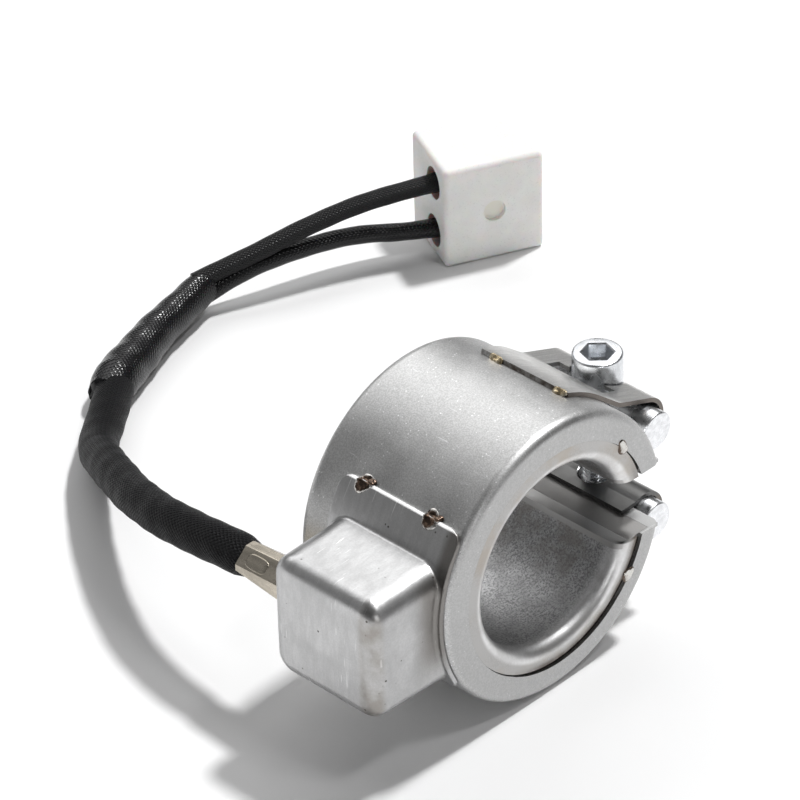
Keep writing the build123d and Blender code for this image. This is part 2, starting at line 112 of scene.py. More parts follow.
class Writer:
    """Writes shader nodes into a tree."""

    def __init__(self, tree: bpy.types.NodeTree) -> None:
        """Empties the tree.

        Args:
            tree: Where the nodes go.
        """
        self.tree = tree
        self.tree.nodes.clear()

    def feed(self, socket: Socket, value: object) -> None:
        """Links a socket to an input, or sets the input to a constant."""
        if isinstance(value, bpy.types.NodeSocket):
            self.tree.links.new(value, socket)
        elif isinstance(value, tuple) and len(value) == 3 and socket.type == "RGBA":
            socket.default_value = (*value, 1.0)
        else:
            socket.default_value = value

    def node(self, kind: str, feeds: dict[str | int, object], **settings: object) -> bpy.types.Node:
        """Adds a node.

        Args:
            kind: Type of the node.
            feeds: Socket or constant for each input, by name or number.
            settings: The node's own settings.

        Returns:
            The node.
        """
        node = self.tree.nodes.new(kind)
        for name, value in settings.items():
            setattr(node, name, value)
        for key, value in feeds.items():
            self.feed(node.inputs[key], value)
        return node

    def place(self, kind: Place = Place.OBJECT) -> Socket:
        """Coordinates of the shaded point."""
        return self.node("ShaderNodeTexCoord", {}).outputs[kind.value]

    def attribute(self, name: str) -> Socket:
        """A value that the mesh carries."""
        return self.node("ShaderNodeAttribute", {}, attribute_name=name).outputs["Fac"]

    def split(self, vector: Socket) -> tuple[Socket, Socket, Socket]:
        """The three parts of a vector."""
        return tuple(self.node("ShaderNodeSeparateXYZ", {0: vector}).outputs)

    def pair(self, operation: str, vector: Socket, other: Point) -> Socket:
        """One number from two vectors, such as their distance."""
        return self.node("ShaderNodeVectorMath", {0: vector, 1: other}, operation=operation).outputs["Value"]

    def stretch(self, vector: Socket, scale: Point, turn: Point = (0.0, 0.0, 0.0)) -> Socket:
        """A vector turned and scaled along its axes."""
        feeds = {"Vector": vector, "Rotation": turn, "Scale": scale}
        return self.node("ShaderNodeMapping", feeds).outputs[0]

    def noise(self, vector: Socket, scale: float, detail: float = 2.0, rough: float = 0.6) -> Socket:
        """Cloudy noise, about 0 to 1.

        Args:
            vector: Where the noise is read.
            scale: Number of features in a metre.
            detail: Number of finer layers.
            rough: Weight of the finer layers.

        Returns:
            The noise value.
        """
        feeds = {"Vector": vector, "Scale": scale, "Detail": detail, "Roughness": rough}
        return self.node("ShaderNodeTexNoise", feeds).outputs["Fac"]

    def cells(self, vector: Socket, scale: float) -> tuple[Socket, Socket]:
        """Distance to the nearest of scattered points, and that point's random colour."""
        node = self.node("ShaderNodeTexVoronoi", {"Vector": vector, "Scale": scale})
        return node.outputs["Distance"], node.outputs["Color"]

    def math(self, operation: str, a: object, b: object = 0.0) -> Socket:
        """One arithmetic step."""
        return self.node("ShaderNodeMath", {0: a, 1: b}, operation=operation).outputs[0]

    def plus(self, a: object, b: object) -> Socket:
        """A sum."""
        return self.math("ADD", a, b)

    def minus(self, a: object, b: object) -> Socket:
        """A difference."""
        return self.math("SUBTRACT", a, b)

    def times(self, a: object, b: object) -> Socket:
        """A product."""
        return self.math("MULTIPLY", a, b)

    def size(self, a: object) -> Socket:
        """A value without its sign."""
        return self.math("ABSOLUTE", a)

    def ease(self, value: Socket, low: float, high: float, start: float = 0.0, end: float = 1.0) -> Socket:
        """A value carried smoothly from one range to another, held at its ends."""
        feeds = {"Value": value, "From Min": low, "From Max": high, "To Min": start, "To Max": end}
        return self.node("ShaderNodeMapRange", feeds, interpolation_type="SMOOTHSTEP").outputs["Result"]

    def ramp(self, value: Socket, low: float, high: float, start: float = 0.0, end: float = 1.0) -> Socket:
        """A place in metres eased over a range given in millimetres."""
        return self.ease(value, low * MM, high * MM, start, end)

    def blend(self, share: object, first: object, second: object) -> Socket:
        """A colour between two colours."""
        return self.node("ShaderNodeMix", {0: share, 6: first, 7: second}, data_type="RGBA").outputs[2]

    def relief(self, height: Socket, depth: float, strength: float = 1.0, under: Socket | None = None) -> Socket:
        """A normal bent by a height.

        Args:
            height: The height, about 0 to 1.
            depth: Millimetres that a height of 1 stands for.
            strength: Share of the bend that is used.
            under: Normal of a coarser relief below this one.

        Returns:
            The bent normal.
        """
        feeds = {"Strength": strength, "Distance": depth * MM, "Height": height}
        if under is not None:
            feeds["Normal"] = under
        return self.node("ShaderNodeBump", feeds).outputs[0]

    def gap_shade_mask(self, spot: Socket) -> Socket:
        """1 on the walls of the band's gap, where painted shade goes, and 0 elsewhere."""
        x, y, z = self.split(spot)
        level = self.ramp(self.size(z), GAP_HALF - 0.2, GAP_HALF, 1.0, 0.0)
        within = self.ramp(self.size(y), GAP_DEPTH - 0.3, GAP_DEPTH, 1.0, 0.0)
        return self.times(self.times(level, within), self.ramp(x, *GAP_X))

    def scratches(self, vector: Socket, scale: Point, turn: Point, share: float) -> Socket:
        """Short fine lines: stretched noise, kept only at its peaks and in patches.

        Args:
            vector: Where the lines are read.
            scale: Features in a metre along each axis, small along the lines.
            turn: Turn of the lines about the axes.
            share: Level of noise above which a line shows.

        Returns:
            1 on a line and 0 elsewhere.
        """
        lines = self.noise(self.stretch(vector, scale, turn), 1.0, 1.0, 0.5)
        patches = self.noise(vector, 140.0, 1.0, 0.5)
        return self.times(self.ease(lines, share, share + 0.03), self.ease(patches, 0.48, 0.62))


class Shader(Writer):
    """Writes one material round a principled surface."""

    def __init__(self, name: str) -> None:
        """Starts an empty material.

        Args:
            name: The material's name.
        """
        self.material = bpy.data.materials.new(name)
        self.material.use_nodes = True
        super().__init__(self.material.node_tree)
        self.body = self.node("ShaderNodeBsdfPrincipled", {})
        self.node("ShaderNodeOutputMaterial", {"Surface": self.body.outputs["BSDF"]})

    def surface(self, **values: object) -> None:
        """Feeds the principled surface, with input names in lower case and underscores."""
        inputs = {s.name.lower().replace(" ", "_"): s for s in self.body.inputs}
        for name, value in values.items():
            self.feed(inputs[name], value)


# Finishes


@dataclass(frozen=True)
class Finish:
    """A procedural material that a subclass paints."""

    name: str
    colour: Colour

    def paint(self, shader: Shader, spot: Socket) -> None:
        """Writes the finish's nodes.

        Args:
            shader: The material's writer.
            spot: Place of the shaded point on the object.
        """
        raise NotImplementedError

    def material(self) -> bpy.types.Material:
        """Builds the finish's material."""
        shader = Shader(self.name)
        self.paint(shader, shader.place())
        return shader.material


@dataclass(frozen=True)
class SatinSteel(Finish):
    """Blasted sheet steel with painted glints, faint clouds and a few scratches."""

    roughness: float = 0.44
    grain_scale: float = 3300.0
    grain_depth: float = 0.045
    cloud_scale: float = 95.0
    clouds: float = 0.10
    scratched: Colour = (0.92, 0.92, 0.93)
    wear: float = 0.5
    painted_glint: Colour = (0.97, 0.97, 0.98)
    glint_scale: float = 1500.0
    glint_strength: float = 0.8

    def paint(self, shader: Shader, spot: Socket) -> None:
        """Paints clouds, grain, scratches and painted glints, darker on the end faces, with painted shade on the
        gap's walls.
        """
        grain = shader.noise(spot, self.grain_scale)
        cloud = shader.noise(spot, self.cloud_scale, 4.0)
        marks = shader.scratches(spot, (2400.0, 170.0, 900.0), (0.3, 0.5, 0.9), 0.70)
        pale = shade(self.colour, 1 + self.clouds)
        tone = shader.blend(shader.ease(cloud, 0.32, 0.68), shade(self.colour, 1 - self.clouds * 1.6), pale)
        speck = shader.blend(shader.ease(grain, 0.38, 0.62), shade(self.colour, 0.70), pale)
        tone = shader.blend(0.55, tone, speck)
        tone = shader.blend(shader.times(marks, self.wear), tone, self.scratched)
        # Painted glints: scattered white specks in the colour, for light caught by the blasted grain.
        near, pick = shader.cells(spot, self.glint_scale)
        lucky = shader.ease(shader.split(pick)[0], 0.86, 0.90)
        painted_glint = shader.times(lucky, shader.ease(near, 0.10, 0.30, 1.0, 0.0))
        tone = shader.blend(shader.times(painted_glint, self.glint_strength), tone, self.painted_glint)
        _, y, _ = shader.split(spot)
        end_face = shader.ramp(shader.size(y), GAP_DEPTH - 0.1, GAP_DEPTH + 0.3, 0.0, 0.5)
        tone = shader.blend(end_face, tone, shade(self.colour, 0.76))
        # Painted shade on the walls of the gap.
        tone = shader.blend(shader.gap_shade_mask(spot), tone, shade(self.colour, 0.8))
        gloss = shader.ease(cloud, 0.3, 0.7, self.roughness - 0.05, self.roughness + 0.07)
        bent = shader.relief(grain, self.grain_depth, 0.6)
        shader.surface(base_color=tone, metallic=1.0, roughness=gloss, normal=bent)


@dataclass(frozen=True)
class BoreSteel(Finish):
    """Blasted steel of the inner shell: pale on the end faces, dark and speckled in the bore."""

    bore_colour: Colour
    stain: Colour
    rust: Colour = (0.42, 0.375, 0.325)
    scorch_and_shade: Colour = (0.10, 0.08, 0.065)
    lip_highlight: Colour = (0.82, 0.82, 0.82)
    grain_scale: float = 2600.0
    cloud_scale: float = 160.0
    rust_scale: float = 70.0
    gap_stain_x: Pair = (6.0, 17.0)
    scorch_and_shade_reach: Pair = (4.0, 22.0)
    lip_y: Pair = (14.5, 17.2)

    def paint(self, shader: Shader, spot: Socket) -> None:
        """Paints the rusty end faces, the pitted bore, the scorched seam with painted shade, a painted highlight
        on the lip and painted shade on the gap's walls.
        """
        x, y, z = shader.split(spot)
        radius = shader.math("SQRT", shader.plus(shader.times(x, x), shader.times(z, z)))
        wall = shader.ramp(radius, BORE_RADIUS + 0.1, BORE_RADIUS + 1.1, 1.0, 0.0)
        grain = shader.noise(spot, self.grain_scale, 3.0, 0.65)
        cloud = shader.noise(spot, self.cloud_scale, 4.0, 0.65)
        near_gap = shader.times(shader.ramp(x, *self.gap_stain_x), shader.ease(cloud, 0.42, 0.62))
        face = shader.blend(shader.ease(grain, 0.3, 0.72), shade(self.colour, 0.74), self.colour)
        face = shader.blend(shader.ease(cloud, 0.35, 0.7), shade(self.colour, 0.86), face)
        rusty = shader.ease(shader.noise(spot, self.rust_scale, 5.0, 0.65), 0.45, 0.66, 0.0, 0.75)
        face = shader.blend(rusty, face, self.rust)
        bore = shader.blend(shader.ease(grain, 0.36, 0.62), shade(self.bore_colour, 0.45), self.bore_colour)
        bore = shader.blend(shader.ease(cloud, 0.4, 0.66, 0.0, 0.55), bore, shade(self.bore_colour, 0.6))
        bore = shader.blend(shader.times(near_gap, 0.4), bore, self.stain)
        # Dark band inside the seam towards the lower right: scorch, with painted shade that widens the seam's gap.
        seam = shader.times(shader.ramp(radius, SEAM_RADIUS - 2.1, SEAM_RADIUS - 0.9),
                            shader.ramp(shader.minus(x, z), *self.scorch_and_shade_reach))
        face = shader.blend(shader.times(seam, shader.ease(cloud, 0.3, 0.6, 0.35, 0.85)), face, self.scorch_and_shade)
        tone = shader.blend(wall, face, bore)
        # Painted highlight: a pale band along the rounded lip of the bore.
        lip = shader.times(shader.ramp(shader.size(y), *self.lip_y),
                           shader.ramp(radius, BORE_RADIUS + 1.9, BORE_RADIUS + 2.9, 1.0, 0.0))
        tone = shader.blend(shader.times(lip, shader.ease(cloud, 0.3, 0.6, 0.95, 0.5)), tone, self.lip_highlight)
        # Painted shade on the walls of the gap.
        tone = shader.blend(shader.gap_shade_mask(spot), tone, shade(self.colour, 0.85))
        gloss = shader.plus(shader.times(wall, 0.06), shader.ease(cloud, 0.3, 0.7, 0.33, 0.43))
        shader.surface(base_color=tone, metallic=1.0, roughness=gloss, normal=shader.relief(grain, 0.05, 0.7))


@dataclass(frozen=True)
class DrawnSheet(Finish):
    """Bright drawn sheet with rubbed streaks along the draw and small dark pits."""

    roughness: float = 0.36
    edge_angle: float = 142.5
    edge_width: float = 0.9
    rubbed_and_highlight: Colour = (0.93, 0.93, 0.93)
    pitted: Colour = (0.10, 0.095, 0.09)
    root_shade: Colour = (0.17, 0.155, 0.14)
    root_shade_x: Pair = (-37.5, -32.0)
    root_shade_y: Pair = (-16.6, -14.6)
    root_shade_z: Pair = (-13.0, -4.0)
    brown: Colour = (0.27, 0.24, 0.205)
    brown_x: Pair = (-44.8, -43.2)
    brown_y: Pair = (-13.4, -11.5)
    cloud_scale: float = 120.0
    grain_scale: float = 2800.0
    pit_scale: float = 520.0

    def paint(self, shader: Shader, spot: Socket) -> None:
        """Paints streaks, pits, scratches, painted shade at the front root, the brown corner and a painted
        highlight along the edge.
        """
        streak = shader.noise(shader.stretch(spot, (300.0, 700.0, 160.0), (0.3, 0.25, 0.1)), 1.0, 4.0)
        cloud = shader.noise(spot, self.cloud_scale, 4.0)
        grain = shader.noise(spot, self.grain_scale)
        pit, _ = shader.cells(spot, self.pit_scale)
        keep = shader.noise(spot, self.pit_scale / 2, 2.0, 0.5)
        pits = shader.times(shader.ease(pit, 0.07, 0.16, 1.0, 0.0), shader.ease(keep, 0.52, 0.62))
        marks = shader.scratches(spot, (160.0, 2600.0, 160.0), (0.4, 0.9, 0.2), 0.69)
        tone = shader.blend(shader.ease(streak, 0.36, 0.62), shade(self.colour, 0.88), self.colour)
        tone = shader.blend(shader.ease(cloud, 0.38, 0.72, 0.0, 0.6), tone, shade(self.colour, 0.8))
        tone = shader.blend(shader.ease(grain, 0.35, 0.65, 0.22, 0.0), tone, shade(self.colour, 0.6))
        tone = shader.blend(pits, tone, self.pitted)
        tone = shader.blend(shader.times(marks, 0.6), tone, self.rubbed_and_highlight)
        x, y, z = shader.split(spot)
        # Painted shade: a dark patch on the flange by the cap's front root, for its reflection of the dark gap and
        # the cap's shadow.
        root = shader.times(shader.ramp(x, *self.root_shade_x), shader.ramp(z, *self.root_shade_z))
        shaded_root = shader.times(shader.ramp(y, *self.root_shade_y, 1.0, 0.0), shader.times(root, 0.75))
        tone = shader.blend(shaded_root, tone, self.root_shade)
        corner = shader.times(shader.ramp(y, *self.brown_y, 1.0, 0.0), shader.ramp(x, *self.brown_x, 1.0, 0.0))
        tone = shader.blend(shader.times(corner, shader.ease(cloud, 0.35, 0.6, 0.15, 0.6)), tone, self.brown)
        # Painted highlight: a pale band along the flange's edge, in the scratch colour.
        turn = radians(self.edge_angle)
        inwards = shader.plus(shader.times(x, -sin(turn)), shader.times(z, cos(turn)))
        tone = shader.blend(shader.ramp(inwards, 0.3, self.edge_width, 0.8, 0.0), tone, self.rubbed_and_highlight)
        gloss = shader.ease(cloud, 0.3, 0.7, self.roughness - 0.03, self.roughness + 0.07)
        coarse = shader.relief(cloud, 0.25, 0.35)
        edge = shader.relief(shader.ramp(inwards, -0.1, self.edge_width), 0.5, 1.0, coarse)
        bent = shader.relief(shader.minus(grain, pits), 0.03, 0.6, edge)
        shader.surface(base_color=tone, metallic=1.0, roughness=gloss, normal=bent)


@dataclass(frozen=True)
class StrapSteel(Finish):
    """Rolled strip, smoother than the shell, burnt brown along its welded edge."""

    burnt: Colour
    edge_x: float = 10.75
    front_y: float = -12.15
    tail_shade_z: Pair = (7.0, 9.0)
    cloud_scale: float = 150.0
    grain_scale: float = 3200.0

    def paint(self, shader: Shader, spot: Socket) -> None:
        """Paints the rolled strip, its burnt welded edge, its darkened cut front edge, and painted shade where it
        reaches into the gap.
        """
        x, y, z = shader.split(spot)
        rolled = shader.noise(shader.stretch(spot, (120.0, 2600.0, 120.0)), 1.0, 3.0)
        cloud = shader.noise(spot, self.cloud_scale, 4.0)
        grain = shader.noise(spot, self.grain_scale)
        tone = shader.blend(shader.ease(rolled, 0.35, 0.65), shade(self.colour, 0.82), self.colour)
        tone = shader.blend(shader.ease(cloud, 0.4, 0.7, 0.0, 0.5), tone, shade(self.colour, 0.72))
        tone = shader.blend(shader.ease(grain, 0.32, 0.62, 0.3, 0.0), tone, shade(self.colour, 0.5))
        edge = shader.ramp(x, self.edge_x - 0.05, self.edge_x + 0.35, 1.0, 0.0)
        tone = shader.blend(shader.times(edge, shader.ease(cloud, 0.3, 0.55)), tone, self.burnt)
        # The cut front edge is darkened with the same dark colour.
        front = shader.ramp(y, self.front_y - 0.04, self.front_y + 0.04, 0.85, 0.0)
        tone = shader.blend(front, tone, self.burnt)
        # Painted shade on the strap where it reaches into the gap.
        shaded_tail = shader.ramp(shader.size(z), *self.tail_shade_z, 1.0, 0.0)
        tone = shader.blend(shaded_tail, tone, shade(self.colour, 0.2))
        gloss = shader.ease(cloud, 0.3, 0.7, 0.30, 0.42)
        shader.surface(base_color=tone, metallic=1.0, roughness=gloss, normal=shader.relief(grain, 0.02, 0.5))


@dataclass(frozen=True)
class Plating(Finish):
    """Bright plated metal with faint draw marks."""

    roughness: float = 0.22
    along: Point = (600.0, 600.0, 90.0)
    contrast: float = 0.25
    cloud_scale: float = 420.0

    def paint(self, shader: Shader, spot: Socket) -> None:
        """Paints the draw marks and duller clouds."""
        drawn = shader.noise(shader.stretch(spot, self.along), 1.0, 4.0, 0.65)
        cloud = shader.noise(spot, self.cloud_scale, 3.0)
        dull = shade(self.colour, 1 - self.contrast)
        tone = shader.blend(shader.ease(drawn, 0.35, 0.65), dull, self.colour)
        tone = shader.blend(shader.ease(cloud, 0.5, 0.75, 0.0, 0.5), tone, dull)
        gloss = shader.ease(cloud, 0.3, 0.7, self.roughness - 0.06, self.roughness + 0.1)
        shader.surface(base_color=tone, metallic=1.0, roughness=gloss, normal=shader.relief(drawn, 0.015, 0.5))


@dataclass(frozen=True)
class WeldTint(Finish):
    """Once-molten steel: a rim and a tint round a core of the finish's colour."""

    rim: Colour
    tint: Colour
    cloud_scale: float = 900.0

    def paint(self, shader: Shader, spot: Socket) -> None:
        """Paints by the mesh attribute rim, which runs from the middle to the edge."""
        cloud = shader.noise(spot, self.cloud_scale, 3.0)
        ring = shader.plus(shader.attribute("rim"), shader.times(shader.minus(cloud, 0.5), 0.9))
        tone = shader.blend(shader.ease(cloud, 0.42, 0.6), self.colour, self.tint)
        tone = shader.blend(shader.ease(ring, 0.72, 0.9), tone, self.rim)
        shader.surface(base_color=tone, metallic=0.9, roughness=shader.ease(cloud, 0.3, 0.7, 0.16, 0.34),
                       normal=shader.relief(cloud, 0.08, 0.5))


@dataclass(frozen=True)
class Braid(Finish):
    """Braided fibre sleeve on the piece's own UV: turns round it across, metres along it up."""

    strands: int
    pitch: float
    sheen: Sheen
    crown_highlight: float = 2.8
    cloud_scale: float = 220.0
    fuzz_scale: float = 5200.0

    def paint(self, shader: Shader, spot: Socket) -> None:
        """Paints two crossing families of strands that take turns on top, with painted highlights on their crowns.
        """
        around, along, _ = shader.split(shader.place(Place.UV))
        turns = shader.times(around, float(self.strands))
        rows = shader.times(along, 1.0 / (self.pitch * MM))
        ways = [shader.plus(turns, rows), shader.minus(turns, rows)]
        over = shader.plus(*(shader.math("FLOOR", way) for way in ways))
        over = shader.size(shader.math("MODULO", over, 2.0))
        crowns = [shader.math("SINE", shader.times(shader.math("FRACT", way), pi)) for way in ways]
        tops = [shader.times(a, shader.math("POWER", b, 0.4)) for a, b in (crowns, crowns[::-1])]
        height = shader.plus(shader.times(tops[0], shader.minus(1.0, over)), shader.times(tops[1], over))
        cloud = shader.noise(spot, self.cloud_scale, 3.0)
        fuzz = shader.noise(spot, self.fuzz_scale)
        # Painted highlight: the raised strands are paler than the grooves.
        lit_crowns = shader.times(height, shader.ease(fuzz, 0.3, 0.75, 0.4, 1.0))
        tone = shader.blend(lit_crowns, self.colour, shade(self.colour, self.crown_highlight))
        tone = shader.blend(shader.ease(cloud, 0.45, 0.75, 0.0, 0.5), tone, shade(self.colour, 1.6))
        wet = self.sheen.value
        gloss = shader.ease(cloud, 0.3, 0.7, 0.44 - 0.30 * wet, 0.56 - 0.30 * wet)
        bent = shader.relief(height, 0.22 - 0.155 * wet, 0.8)
        shader.surface(base_color=tone, roughness=gloss, normal=bent, specular_ior_level=0.12 + 0.20 * wet)


@dataclass(frozen=True)
class Ceramic(Finish):
    """Matt unglazed ceramic with fine pores and a yellowed recess."""

    recess: Colour
    recess_at: Point
    recess_radius: float
    cloud_scale: float = 130.0
    pore_scale: float = 2300.0
    depth_of_light: float = 2.0

    def paint(self, shader: Shader, spot: Socket) -> None:
        """Paints faint clouds, pores and the recess."""
        far = shader.pair("DISTANCE", spot, shade(self.recess_at, MM))
        cloud = shader.noise(spot, self.cloud_scale, 4.0)
        pores = shader.noise(spot, self.pore_scale)
        tone = shader.blend(shader.ease(cloud, 0.35, 0.7), shade(self.colour, 0.94), self.colour)
        tone = shader.blend(shader.ease(pores, 0.30, 0.42, 0.35, 0.0), tone, shade(self.colour, 0.7))
        near = shader.ramp(far, 0.8 * self.recess_radius, 1.15 * self.recess_radius, 1.0, 0.0)
        tone = shader.blend(near, tone, self.recess)
        shader.surface(base_color=tone, roughness=0.72, specular_ior_level=0.35, subsurface_weight=0.4,
                       subsurface_scale=self.depth_of_light * MM, normal=shader.relief(pores, 0.05, 0.5))


@dataclass(frozen=True)
class Hidden(Finish):
    """Plain mottled finish of a piece inside the band or the cap."""

    metal: float = 0.0
    roughness: float = 0.8
    scorch_and_shade_from: float = 0.0
    scorch_and_shade: Colour = (0.035, 0.028, 0.022)
    cloud_scale: float = 320.0

    def paint(self, shader: Shader, spot: Socket) -> None:
        """Paints the mottle, darkened towards the band's end faces where that is asked: scorch, with painted shade
        where it shows through the seam.
        """
        cloud = shader.noise(spot, self.cloud_scale, 4.0)
        tone = shader.blend(shader.ease(cloud, 0.35, 0.65), shade(self.colour, 0.75), self.colour)
        if self.scorch_and_shade_from:
            _, y, _ = shader.split(spot)
            near = shader.ramp(shader.size(y), self.scorch_and_shade_from, self.scorch_and_shade_from + 1.0)
            # Scorch, with painted shade where the piece shows through the seam.
            tone = shader.blend(near, tone, self.scorch_and_shade)
        shader.surface(base_color=tone, metallic=self.metal, roughness=self.roughness,
                       normal=shader.relief(cloud, 0.1, 0.4))


# Meshes


def turns(count: int) -> Array:
    """Angles once round in equal steps."""
    return np.linspace(0.0, 2 * pi, count, endpoint=False)


def mesh_object(name: str, points: Array, faces: list[list[int]], uv: Array | None = None) -> bpy.types.Object:
    """Puts points and faces into a smooth mesh object at the origin.

    Args:
        name: Name of the object.
        points: Points in metres, one row each.
        faces: Point numbers of each face.
        uv: Texture place of each face corner, or None.

    Returns:
        The linked object.
    """
    mesh = bpy.data.meshes.new(name)
    mesh.from_pydata(points.tolist(), [], faces)
    if uv is not None:
        layer = mesh.uv_layers.new(name="UVMap")
        layer.uv.foreach_set("vector", uv.astype(np.float32).ravel())
    mesh.polygons.foreach_set("use_smooth", np.ones(len(mesh.polygons), bool))
    mesh.update()
    piece = bpy.data.objects.new(name, mesh)
    bpy.context.scene.collection.objects.link(piece)
    return piece


def ring_faces(rows: int, columns: int, start: int = 0) -> Array:
    """Quads between rings of points, each ring closed on itself."""
    row, column = np.meshgrid(np.arange(rows - 1), np.arange(columns), indexing="ij")
    after = (column + 1) % columns
    quads = np.stack([row * columns + column, row * columns + after,
                      (row + 1) * columns + after, (row + 1) * columns + column], -1)
    return quads.reshape(-1, 4) + start


def rings_object(name: str, rings: Array, uv: Array | None = None) -> bpy.types.Object:
    """A closed body of rings of points, its first and last ring filled.

    Args:
        name: Name of the object.
        rings: Points, with shape rings by points on a ring by 3.
        uv: Texture place of each quad corner, or None.

    Returns:
        The linked object.
    """
    rows, columns, _ = rings.shape
    quads = ring_faces(rows, columns)
    caps = [list(range(columns))[::-1], list(range((rows - 1) * columns, rows * columns))]
    corners = None
    if uv is not None:
        corners = np.concatenate([uv.reshape(-1, 2), np.zeros((2 * columns, 2))])
    return mesh_object(name, rings.reshape(-1, 3), quads.tolist() + caps, corners)


def face_outwards(piece: bpy.types.Object) -> None:
    """Turns a piece's faces outwards."""
    work = bmesh.new()
    work.from_mesh(piece.data)
    bmesh.ops.recalc_face_normals(work, faces=work.faces)
    work.to_mesh(piece.data)
    work.free()


def sharpen(piece: bpy.types.Object, angle: float) -> None:
    """Keeps edges sharp where the faces meet at more than an angle."""
    piece.data.set_sharp_from_angle(angle=radians(angle))


def dress(piece: bpy.types.Object, material: bpy.types.Material) -> None:
    """Gives a piece one material."""
    piece.data.materials.clear()
    piece.data.materials.append(material)


def stand_in(piece: bpy.types.Object, node: str, body: Body = Body.BAND) -> None:
    """Lets a piece ride on a body in place of a CAD node.

    Args:
        piece: The piece.
        node: Name of the CAD node.
        body: The body.
    """
    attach(piece, body.value)
    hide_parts(node)
    LOG.info("%s: %d faces", piece.name, len(piece.data.polygons))


# Cords


@dataclass
class Route:
    """A cord's line: a smooth spline with the route's points as its control points."""

    name: str
    points: tuple[Point, ...]
    steps: int = 24

    def line(self) -> Array:
        """Reads the spline's points.

        Returns:
            Points along the spline in metres.
        """
        curve = bpy.data.curves.new(self.name, "CURVE")
        curve.dimensions = "3D"
        curve.resolution_u = self.steps
        spline = curve.splines.new("NURBS")
        spline.points.add(len(self.points) - 1)
        controls = np.c_[np.array(self.points) * MM, np.ones(len(self.points))]
        spline.points.foreach_set("co", controls.astype(np.float32).ravel())
        spline.order_u = 3
        spline.use_endpoint_u = True
        holder = bpy.data.objects.new(self.name, curve)
        mesh = bpy.data.meshes.new_from_object(holder)
        read = np.zeros(len(mesh.vertices) * 3, np.float32)
        mesh.vertices.foreach_get("co", read)
        bpy.data.meshes.remove(mesh)
        bpy.data.objects.remove(holder)
        bpy.data.curves.remove(curve)
        return read.reshape(-1, 3).astype(float)


@dataclass
class Tube:
    """A round profile carried along a route, with its radius changing along it."""

    route: Route
    diameter: float
    columns: int
    step: float
    shape: Knots = LEVEL
    swell: float = 0.012
    flat: Knots = LEVEL
    ragged: float = 0.0
    ragged_share: float = 0.06

    def build(self) -> tuple[bpy.types.Object, Array]:
        """Makes the tube.

        The profile stands square to the line, its sides level and its height across them. Its radius
        is half the diameter times the shape along the line, with a slow swell, and the two ends are
        moved along the line by a ragged wave round the edge.

        Returns:
            The object and the line that it follows.
        """
        line = self.route.line()
        along = np.r_[0.0, np.cumsum(np.linalg.norm(np.diff(line, axis=0), axis=1))]
        length = along[-1]
        rows = int(length / (self.step * MM)) + 1
        share = np.linspace(0.0, 1.0, rows)
        run = share * length
        centre = np.stack([np.interp(run, along, line[:, k]) for k in range(3)], 1)
        ahead = np.gradient(centre, axis=0)
        ahead /= np.linalg.norm(ahead, axis=1, keepdims=True)
        side = np.cross(ahead, (0.0, 0.0, 1.0))
        side /= np.linalg.norm(side, axis=1, keepdims=True)
        rise = np.cross(side, ahead)
        angle = turns(self.columns)
        round_shape, flatten = (np.interp(share, *np.array(k).T)[:, None] for k in (self.shape, self.flat))
        place = (run / MM)[:, None]
        lump = 1 + self.swell * (np.sin(place * 0.9 + 2 * angle) + np.sin(place * 0.37 - angle + 1.3))
        size = self.diameter / 2 * MM * round_shape * lump
        wave = np.sin(3 * angle) + 0.7 * np.sin(7 * angle + 1.0) + 0.5 * np.sin(13 * angle + 2.0)
        root, tip = (np.clip(1 - part / self.ragged_share, 0, 1)[:, None] for part in (share, 1 - share))
        slip = (self.ragged * MM) * (root - tip) * wave
        rings = (centre[:, None, :] + slip[..., None] * ahead[:, None, :]
                 + (size * flatten * np.cos(angle))[..., None] * side[:, None, :]
                 + (size / flatten * np.sin(angle))[..., None] * rise[:, None, :])
        turn = np.arange(self.columns + 1) / self.columns
        corners = np.zeros((rows - 1, self.columns, 4, 2))
        corners[..., 0] = np.stack([turn[:-1], turn[1:], turn[1:], turn[:-1]], -1)[None]
        corners[..., 1] = np.stack([run[:-1], run[:-1], run[1:], run[1:]], -1)[:, None]
        return rings_object(self.route.name, rings, corners), line


